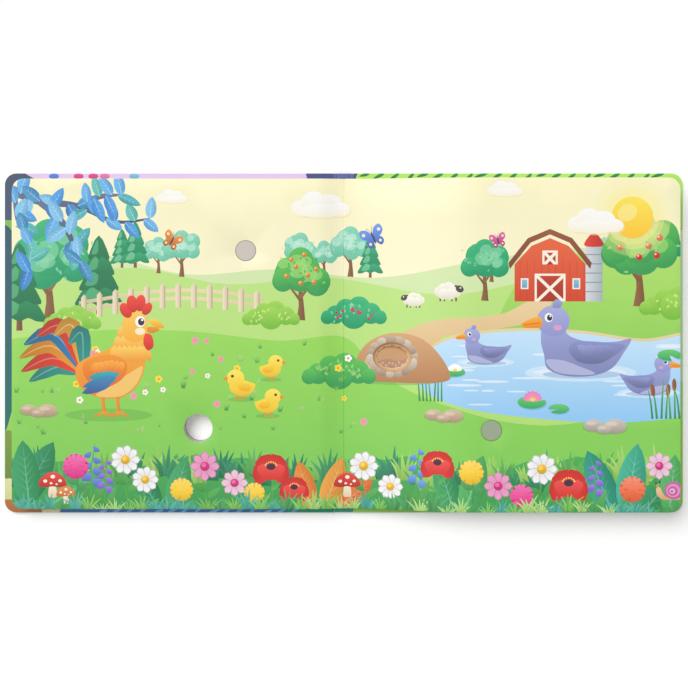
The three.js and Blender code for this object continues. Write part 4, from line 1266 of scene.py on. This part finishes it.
window_left, window_right, window_low, window_high = module_window
window_size = np.array((window_right - window_left, window_high - window_low))
window_edge = board_outline(1, 0, *(window_size / 2), window_corner)
window_edge = np.vstack((window_edge[1:-1], (window_edge[1:-1] * (-1, 1))[::-1]))
window_edge = window_edge + ((window_left + window_right) / 2, (window_low + window_high) / 2)
peep_edge = ellipse(*peep_hole, peep_hole[2], sides=40)
for title, side, hole in (("front", -1, peep_edge), ("back", 1, window_edge)):
    outline = board_outline(side, cover_low[0], cover_high[0], cover_high[1], cover_corner)
    across = np.sort(steps_between(cover_low[0], cover_high[0]) * side)
    upward = steps_between(cover_low[1], cover_high[1])
    for place, design, level, up in (("lining", lining, cover_high[2] + print_lift, 1),
                                     ("wrap", wrap, cover_low[2] - print_lift, -1)):
        piece = printed_sheet(f"{title}_cover_{place}", design, outline, [hole], lambda x, y: x * 0 + level,
                              wrap_rim, across, upward, up, bare=[box_round(hole)])
        piece.data.materials.append(cover_ink)
        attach(piece, f"{title}_half")

# The spine strip. The wrap runs on over it between the two boards: paper and card, scored twice so that it
# can bend, and glued to neither block of pages. It follows a rule, so Geometry Nodes make it from a finely
# cut slab.


class Recipe(Graph):
    """A Geometry Nodes tree with named sizes, which leaves a plain mesh."""

    prefix = "GeometryNode"

    def __init__(self, name, **sizes):
        self.name = name
        self.tree = bpy.data.node_groups.new(name, "GeometryNodeTree")
        self.tree.interface.new_socket("Geometry", in_out="OUTPUT", socket_type="NodeSocketGeometry")
        kinds = {float: "NodeSocketFloat", int: "NodeSocketInt", tuple: "NodeSocketVector"}
        self.given = {}
        for title, value in sizes.items():
            socket = self.tree.interface.new_socket(title, in_out="INPUT", socket_type=kinds[type(value)])
            self.given[socket.identifier] = value
        source = self.tree.nodes.new("NodeGroupInput")
        self.size = {title: Value(self, source.outputs[title]) for title in sizes}

    def along(self, x=0.0, y=0.0, z=0.0):
        """A vector from its three parts."""
        return self.node("ShaderNodeCombineXYZ", None, {0: x, 1: y, 2: z})

    def piece(self, geometry, material):
        """Settles the tree into a plain mesh of its own."""
        real = self.node("RealizeInstances", None, {"Geometry": geometry})
        coated = self.node("SetMaterial", None, {"Geometry": real, "Material": material})
        outlet = self.tree.nodes.new("NodeGroupOutput")
        self.tree.links.new(coated.socket, outlet.inputs[0])
        made = set_down(self.name, bpy.data.meshes.new(self.name))
        modifier = made.modifiers.new(self.name, "NODES")
        modifier.node_group = self.tree
        for identifier, value in self.given.items():
            modifier[identifier] = value
        settled = made.evaluated_get(bpy.context.evaluated_depsgraph_get())
        mesh = bpy.data.meshes.new_from_object(settled)
        made.modifiers.clear()
        made.data = mesh
        return made


spine_low, spine_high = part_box("spine")
spine_cloth = Finish("spine_paper", {"Specular IOR Level": 0.35, "Coat Roughness": 0.3})
weave = spine_cloth.noise(2200, (1, 0.15, 1), detail=5)
cloudy = spine_cloth.noise(60, detail=4)
spine_length = spine_high.y - spine_low.y
lengthwise = spine_cloth.place((1, 1 / spine_length, 1))
band = spine_cloth.node("SeparateXYZ", None, {0: lengthwise}, output=1) + 0.5
tint = spine_cloth.ramp(band + (cloudy - 0.5) * 0.12, (0.06, ink("#1a8f70")), (0.35, ink("#3c78a8")),
                        (0.7, ink("#4a5290")), (0.97, ink("#525c9c")))
spine_cloth.send(spine_cloth.mix(weave * 0.05, tint, (0.9, 0.9, 0.85)), "Base Color")
spine_cloth.send(0.40 + weave * 0.12, "Roughness")
spine_cloth.bump(weave, 0.2, 0.05 * mm)

score_half = 0.7 * mm
spine_fold = math.radians(40)
strip = Recipe("spine_strip", length=spine_length, width=spine_high.x - spine_low.x,
               board=spine_high.z - spine_low.z, middle=(spine_low.z + spine_high.z) / 2,
               score=0.22 * mm, score_place=4.1 * mm, columns=39, rows=24)
inset = 0.02 * mm
slab_size = strip.along(strip.size["width"], strip.size["length"], strip.size["board"] - inset)
slab = strip.node("MeshCube", None, {"Size": slab_size, "Vertices X": strip.size["columns"],
                                     "Vertices Y": strip.size["rows"], "Vertices Z": 3})
spot = strip.node("InputPosition")
from_middle = strip.node("ShaderNodeSeparateXYZ", None, {0: spot}, output=0)
off_score = strip.node("ShaderNodeMath", {"operation": "ABSOLUTE"}, {0: from_middle})
off_score = (off_score - strip.size["score_place"]) * (1 / score_half)
dip = strip.node("ShaderNodeMath", {"operation": "MAXIMUM"}, {0: 1 - off_score * off_score, 1: 0.0})
lower = strip.along(z=strip.size["middle"] - dip * strip.size["score"])
bent = strip.node("SetPosition", None, {"Geometry": slab, "Offset": lower})
spine_strip = strip.piece(bent, spine_cloth.material)
spine_strip.data.set_sharp_from_angle(angle=spine_fold)
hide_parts("spine")
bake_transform(spine_strip)


# The sound module's shell: a white case, its lid and its battery door, injection moulded with a fine spark
# finish. The case is glued into the sound block, the lid snaps in above and one small screw holds the door.
case_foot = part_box("module_case")[0].z
door_low, door_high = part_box("battery_door")


def moulded(name, colour, roughness=0.42, tooth=3200):
    """Moulded plastic: a fine spark texture, and a little sink and flow in the gloss."""
    finish = Finish(name, {"Specular IOR Level": 0.45})
    spark = finish.noise(tooth, detail=3)
    flow = finish.noise(45, detail=3)
    deep = [c * 0.93 for c in colour]
    finish.send(finish.mix(flow * 0.6 + spark * 0.4, deep, colour), "Base Color")
    finish.send(roughness - 0.06 + flow * 0.08 + spark * 0.06, "Roughness")
    finish.bump(spark, 0.22, 0.05 * mm)
    return finish.material


white_plastic = moulded("case_plastic", (0.80, 0.80, 0.77))
dress(white_plastic, "module_case", "module_lid", "battery_door")
dress(moulded("switch_housing_plastic", (0.05, 0.05, 0.055), 0.5), "switch_housing")
slider_plastic = moulded("slider_plastic", (0.035, 0.037, 0.04), 0.38)
dress(slider_plastic, "switch_slider")

# The speaker grille's rims and the ribs that a thumb grips on the door and the slider, moulded with them.
# Geometry Nodes set out the rims on their rings and the ribs in their rows.
grille_centre = (134.7 * mm, -24.6 * mm, case_foot)
grille = Recipe("grille_rims", hole=1.0 * mm, wire=0.12 * mm, reach=0.14 * mm, pitch=3.6 * mm,
                centre=grille_centre, sides=20)
given = grille.size
by_radius = {"mode": "RADIUS"}
loop_radius = given["hole"] + given["reach"]
section = grille.node("CurvePrimitiveCircle", by_radius, {"Resolution": 6, "Radius": given["wire"]})
loop = grille.node("CurvePrimitiveCircle", by_radius, {"Resolution": given["sides"], "Radius": loop_radius})
one_rim = grille.node("CurveToMesh", None, {"Curve": loop, "Profile Curve": section})
joined = grille.node("JoinGeometry")
for ring, count in enumerate((1, 6, 12)):
    circle = grille.node("MeshCircle", None, {"Vertices": count, "Radius": given["pitch"] * ring})
    grille.tree.links.new(circle.socket, joined.socket.node.inputs[0])
rims = grille.node("InstanceOnPoints", None, {"Points": joined, "Instance": one_rim})
loose = grille.node("RealizeInstances", None, {0: rims})
placed = grille.node("SetPosition", None, {"Geometry": loose, "Offset": given["centre"]})
rim_piece = grille.piece(placed, white_plastic)
rim_piece.data.shade_smooth()


def ribs(name, count, pitch, long, wide, high, foot, finish):
    """A row of round-backed grip ribs, with their feet on a face that looks down."""
    row = Recipe(name, count=count, pitch=pitch, length=long, width=wide, height=high, foot=foot)
    size = row.size
    step = row.along(size["pitch"])
    line = row.node("MeshLine", {"mode": "OFFSET"}, {"Count": size["count"], "Offset": step})
    half_run = size["pitch"] * (size["count"] - 1.0) * -0.5
    centred = row.node("SetPosition", None, {"Geometry": line, "Offset": row.along(half_run)})
    ball = row.node("MeshUVSphere", None, {"Segments": 16, "Rings": 8, "Radius": 0.5})
    rib_size = row.along(size["width"], size["length"], size["height"] * 2.0)
    shaped = row.node("Transform", None, {"Geometry": ball, "Scale": rib_size})
    rows = row.node("InstanceOnPoints", None, {"Points": centred, "Instance": shaped})
    real = row.node("RealizeInstances", None, {0: rows})
    piece = row.piece(row.node("SetPosition", None, {"Geometry": real, "Offset": size["foot"]}), finish)
    piece.data.shade_smooth()
    return piece


door_middle = (door_low + door_high) / 2
door_grip = (door_low.x + 9 * mm, door_middle.y, door_low.z)
rib_piece = ribs("door_ribs", count=7, pitch=1.5 * mm, long=8.0 * mm, wide=0.7 * mm, high=0.3 * mm,
                 foot=door_grip, finish=white_plastic)
for piece in (rim_piece, rib_piece):
    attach(piece, "back_half")
slider_low, slider_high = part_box("switch_slider")
slider_middle = (slider_low + slider_high) / 2
slider_grip = (slider_middle.x, slider_middle.y, slider_low.z)
grip = ribs("slider_ribs", count=4, pitch=0.8 * mm, long=2.6 * mm, wide=0.4 * mm, high=0.2 * mm,
            foot=slider_grip, finish=slider_plastic)
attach(grip, "power_switch")

# What is packed inside the shell: cells and sprung contacts, the circuit board with its chip under resin, the
# speaker, and the wires between them. All are bought-in parts, set on posts or pressed into their wells.


def metal(name, colour, roughness, stretch=(1, 1, 1)):
    """Plated or pressed metal: fine drawn lines and a faint bloom."""
    finish = Finish(name, {"Metallic": 1.0})
    drawn = finish.noise(1500, stretch, detail=4)
    bloom = finish.noise(120, detail=3)
    finish.send(finish.mix(bloom, [c * 0.86 for c in colour], colour), "Base Color")
    finish.send(roughness - 0.08 + drawn * 0.12 + bloom * 0.08, "Roughness")
    finish.bump(drawn, 0.12, 0.02 * mm)
    return finish.material


def vinyl(name, colour, roughness=0.38):
    """Soft insulation, card or film: an even skin that is a little cloudy."""
    finish = Finish(name, {"Specular IOR Level": 0.5})
    cloudy = finish.noise(260, detail=3)
    finish.send(finish.mix(cloudy, [c * 0.82 for c in colour], colour), "Base Color")
    finish.send(roughness - 0.06 + cloudy * 0.12, "Roughness")
    finish.bump(finish.noise(2400, detail=2), 0.12, 0.02 * mm)
    return finish.material


def lacquered_board():
    """Green lacquer over copper tracks, which show as paler lines."""
    finish = Finish("laminate", {"Specular IOR Level": 0.5})
    lines = finish.node("TexBrick", None, {"Vector": finish.place(), "Scale": 260.0, "Mortar Size": 0.012,
                                           "Brick Width": 0.9, "Row Height": 0.32}, output=1)
    blur = finish.noise(500, detail=3)
    lacquer = finish.mix(blur, (0.012, 0.10, 0.035), (0.02, 0.15, 0.055))
    finish.send(finish.mix(lines * 0.8, lacquer, (0.10, 0.30, 0.10)), "Base Color")
    finish.send(0.30 + blur * 0.12, "Roughness")
    finish.bump(lines + blur * 0.2, 0.3, 0.03 * mm)
    return finish.material


def pressed_paper():
    """The cone: black paper, pressed with a fibrous tooth."""
    finish = Finish("speaker_paper", {"Specular IOR Level": 0.2})
    fibre = finish.noise(1400, (1, 3, 1), detail=6)
    finish.send(finish.mix(fibre, (0.010, 0.010, 0.011), (0.045, 0.043, 0.04)), "Base Color")
    finish.send(0.75 + fibre * 0.15, "Roughness")
    finish.bump(fibre, 0.4, 0.06 * mm)
    return finish.material


plated = metal("steel", (0.72, 0.72, 0.71), 0.26, (1, 6, 1))
dress(plated, "door_screw", "left_switch_dome", "right_switch_dome", "contact_top_link", "contact_door_link",
      "contact_plus", "contact_minus", "cell_1", "cell_2", "cell_3")
dress(metal("speaker_basket", (0.60, 0.60, 0.60), 0.4), "speaker_frame")
dress(metal("magnet", (0.16, 0.16, 0.17), 0.38), "speaker_magnet")
dress(pressed_paper(), "speaker_cone")
dress(lacquered_board(), "circuit_board")
dress(vinyl("resin", (0.02, 0.02, 0.022), 0.25), "sound_chip")
dress(vinyl("red_insulation", (0.52, 0.02, 0.022)), "speaker_wire_red", "battery_wire_red")
dress(vinyl("black_insulation", (0.02, 0.02, 0.02)), "speaker_wire_black", "battery_wire_black")


def printed_film():
    """Clear polyester film with silver tracks along it."""
    finish = Finish("switch_film", {"Specular IOR Level": 0.5})
    stripes = finish.node("TexWave", {"bands_direction": "Y"}, {"Vector": finish.place(), "Scale": 180.0})
    haze = finish.noise(300, detail=3)
    amber = finish.mix(haze, (0.52, 0.43, 0.25), (0.62, 0.53, 0.34))
    finish.send(finish.mix(stripes > 0.86, amber, (0.70, 0.70, 0.68)), "Base Color")
    finish.send(0.28 + haze * 0.12, "Roughness")
    return finish.material


dress(printed_film(), "left_switch_film", "right_switch_film", "gutter_film")

# The sound block and the two blocks of leaves. Each leaf is a solid white board, and the leaves are glued back
# to back; the block is one thick die-cut board that leaves the module its room.
white_board = board_core("page_board", (0.84, 0.82, 0.76), 1500)
dress(board_core("block_board", (0.66, 0.62, 0.54), 900), "sound_block")
dress(white_board, "left_pages", "right_pages")


# The printed faces of the two open pages, and the strip of the same print that bends down into the gutter.
# Each is die-cut for its button and for the peep hole or the oval window.
left_low, left_high = (np.array(corner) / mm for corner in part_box("left_pages"))
right_high = np.array(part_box("right_pages")[1]) / mm
left_curve = 16.0
right_curve = 80.0
gutter_top = 8.1
gutter_half = 1.2
crease_depth = 0.25
crease_half = 0.2
pocket_radius = 6.4
left_button = (-59.3, 56.3)
right_button = (88.0, -51.0)
gutter_room = 0.3
oval_window = (29.2, -7.8, 9.75, 7.0)
page_leaf = 2.45
page_corner = 7.0
page_overlap = 0.06
page_rim = [(0.03, 0.01), (0.06, 0.05), (0.06, 0.32)]


def page_height(x, y=0):
    """How high the open pages stand: flat outwards, and curving down into the gutter."""
    top = np.where(x < 0, left_high[2], right_high[2])
    reach = np.abs(x) / np.where(x < 0, left_curve, right_curve)
    rise = 0.5 - 0.5 * np.cos(math.pi * reach.clip(0, 1))
    fold = crease_depth * (1 - np.abs(x) / crease_half).clip(0, 1)
    return gutter_top + (top - gutter_top) * rise - fold + print_lift


meadow = whole()
page_ink = coated_print("page_print")
page_half = left_high[1] + page_overlap
fore_edge = -left_low[0] + page_overlap
rows = steps_between(-page_half, page_half)
pages = (
    ("left", -1, left_curve, 8, left_button, (*peep_hole, peep_hole[2])),
    ("right", 1, right_curve, 16, right_button, oval_window),
)
for title, side, bend, facets, button, opening in pages:
    holes = [ellipse(*button, pocket_radius, sides=40), ellipse(*opening, sides=48)]
    outline = board_outline(side, gutter_half, fore_edge, page_half, page_corner)
    stations = crease_half + (bend - crease_half) * np.arange(1, facets + 1) / facets
    flat = np.linspace(bend, fore_edge + 1, round((fore_edge - bend) / tile) + 1)[1:]
    inner_end = [gutter_half - gutter_room]
    columns = np.sort(side * np.concatenate((inner_end, stations[stations > gutter_half], flat)))
    gutter_edge = [(side * gutter_half, -page_half), (side * gutter_half, page_half)]
    sheet = printed_sheet(f"{title}_page_print", meadow, outline, holes, page_height, page_rim, columns, rows,
                          rim_paling=0.12, bare=[box_round(gutter_edge)])
    sheet.data.materials.append(page_ink)
    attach(sheet, "front_half" if side < 0 else "back_half")

gutter_line = plank(-gutter_half, -page_half, gutter_half, page_half)
gutter_columns = np.linspace(-gutter_half - crease_half, gutter_half + crease_half, 15)
gutter_strip = printed_sheet("gutter_print", meadow, gutter_line, [], page_height, [], gutter_columns, rows)
gutter_strip.data.materials.append(page_ink)
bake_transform(gutter_strip)

# The floor of the oval window: the leaf below shows through, printed as the earth inside the burrow.
earth = Print()
window_x, window_y, window_half_length, window_half_width = oval_window
floor_room = 0.02
floor_tile = (11, 8)
floor_size = (window_half_length - floor_room, window_half_width - floor_room)
floor_edge = ellipse(window_x, window_y, *floor_size, sides=48)
earth.lay(ellipse(*oval_window, sides=48), "#cfa26a", "#c79a80")
heap = curve((19, -12), (26, -9), (33, -10.5), (40, -8), (40, -16), (19, -16))
earth.lay(heap, "#b98a72", "#a87a64", alpha=0.7)
for k in range(9):
    seed = ellipse(21.5 + 2.0 * k, -12.4 + 0.9 * math.sin(2.3 * k), 1.0, 0.6, 20 * k, 12)
    earth.lay(seed, "#dcc0a2", "#b99a7c")
floor_level = float(page_height(np.array(window_x))) - page_leaf
floor_columns = np.linspace(window_x - floor_tile[0], window_x + floor_tile[0], 3)
floor_rows = np.linspace(window_y - floor_tile[1], window_y + floor_tile[1], 3)
window_floor = printed_sheet("window_floor", earth, floor_edge, [], lambda x, y: x * 0 + floor_level, [],
                             floor_columns, floor_rows)
window_floor.data.materials.append(page_ink)
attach(window_floor, "back_half")

# The two sound buttons: a disc of printed board, cut with the page's own die, that drops 0.4 mm onto its snap
# dome. The thumb's edge is slightly rounded, and the pale face has a darker rim.
button_edge = 0.28
button_lip = 0.12
button_fold = math.radians(35)
rim_start = 0.88
rim_end = 0.97


def sound_button(name, body, colour, rim_colour, sides=72):
    """One button cap, turned from its profile, with its own print."""
    low, high = (np.array(corner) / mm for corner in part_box(name))
    middle, radius = (low + high) / 2, (high[0] - low[0]) / 2 + button_lip
    profile = [(0, high[2]), (radius * 0.5, high[2]), (radius - button_edge - 0.5, high[2])]
    for turn in np.linspace(0, math.pi / 2, 6):
        inward, down = button_edge * (1 - math.sin(turn)), button_edge * (1 - math.cos(turn))
        profile.append((radius - inward, high[2] - down))
    profile += [(radius, (low[2] + high[2]) / 2), (radius, low[2]), (0, low[2])]
    spots, corners = [(*middle[:2], profile[0][1])], []
    for reach, level in profile[1:-1]:
        for angle in np.linspace(0, 2 * math.pi, sides, endpoint=False):
            spots.append((middle[0] + reach * math.cos(angle), middle[1] + reach * math.sin(angle), level))
    spots.append((*middle[:2], profile[-1][1]))
    last, rings = len(spots) - 1, len(profile) - 2
    for k in range(sides):
        after = (k + 1) % sides
        corners.append((0, 1 + k, 1 + after))
        for ring in range(rings - 1):
            here, there = 1 + ring * sides, 1 + (ring + 1) * sides
            corners.append((here + k, there + k, there + after, here + after))
        foot = 1 + (rings - 1) * sides
        corners.append((foot + k, last, foot + after))
    mesh = bpy.data.meshes.new(name)
    mesh.from_pydata((np.array(spots) * mm).tolist(), [], corners)
    mesh.shade_smooth()
    mesh.set_sharp_from_angle(angle=button_fold)
    cap = set_down(name + "_cap", mesh)
    finish = Finish(name + "_print", {"Specular IOR Level": 0.35})
    stretch = (1 / (radius * mm), 1 / (radius * mm), 0)
    from_middle = finish.place(stretch, (middle[0] * mm, middle[1] * mm, 0))
    reach = finish.node("VectorMath", {"operation": "LENGTH"}, {0: from_middle}, output=1)
    speck = finish.noise(1800, detail=4)
    face = finish.mix(speck * 0.5, ink(colour), ink(shade(colour, -0.1)))
    at_rim = finish.node("MapRange", None, {0: reach, 1: rim_start, 2: rim_end})
    finish.send(finish.mix(at_rim, face, ink(rim_colour)), "Base Color")
    finish.send(0.40 + speck * 0.12, "Roughness")
    finish.bump(speck, 0.15, 0.03 * mm)
    mesh.materials.append(finish.material)
    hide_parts(name)
    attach(cap, body)


sound_button("left_sound_button", "left_button", "#d3cbc0", "#b8b0a4")
sound_button("right_sound_button", "right_button", "#a0ac95", "#7fa860")

# The view.
bpy.context.scene.view_settings.view_transform = "Standard"
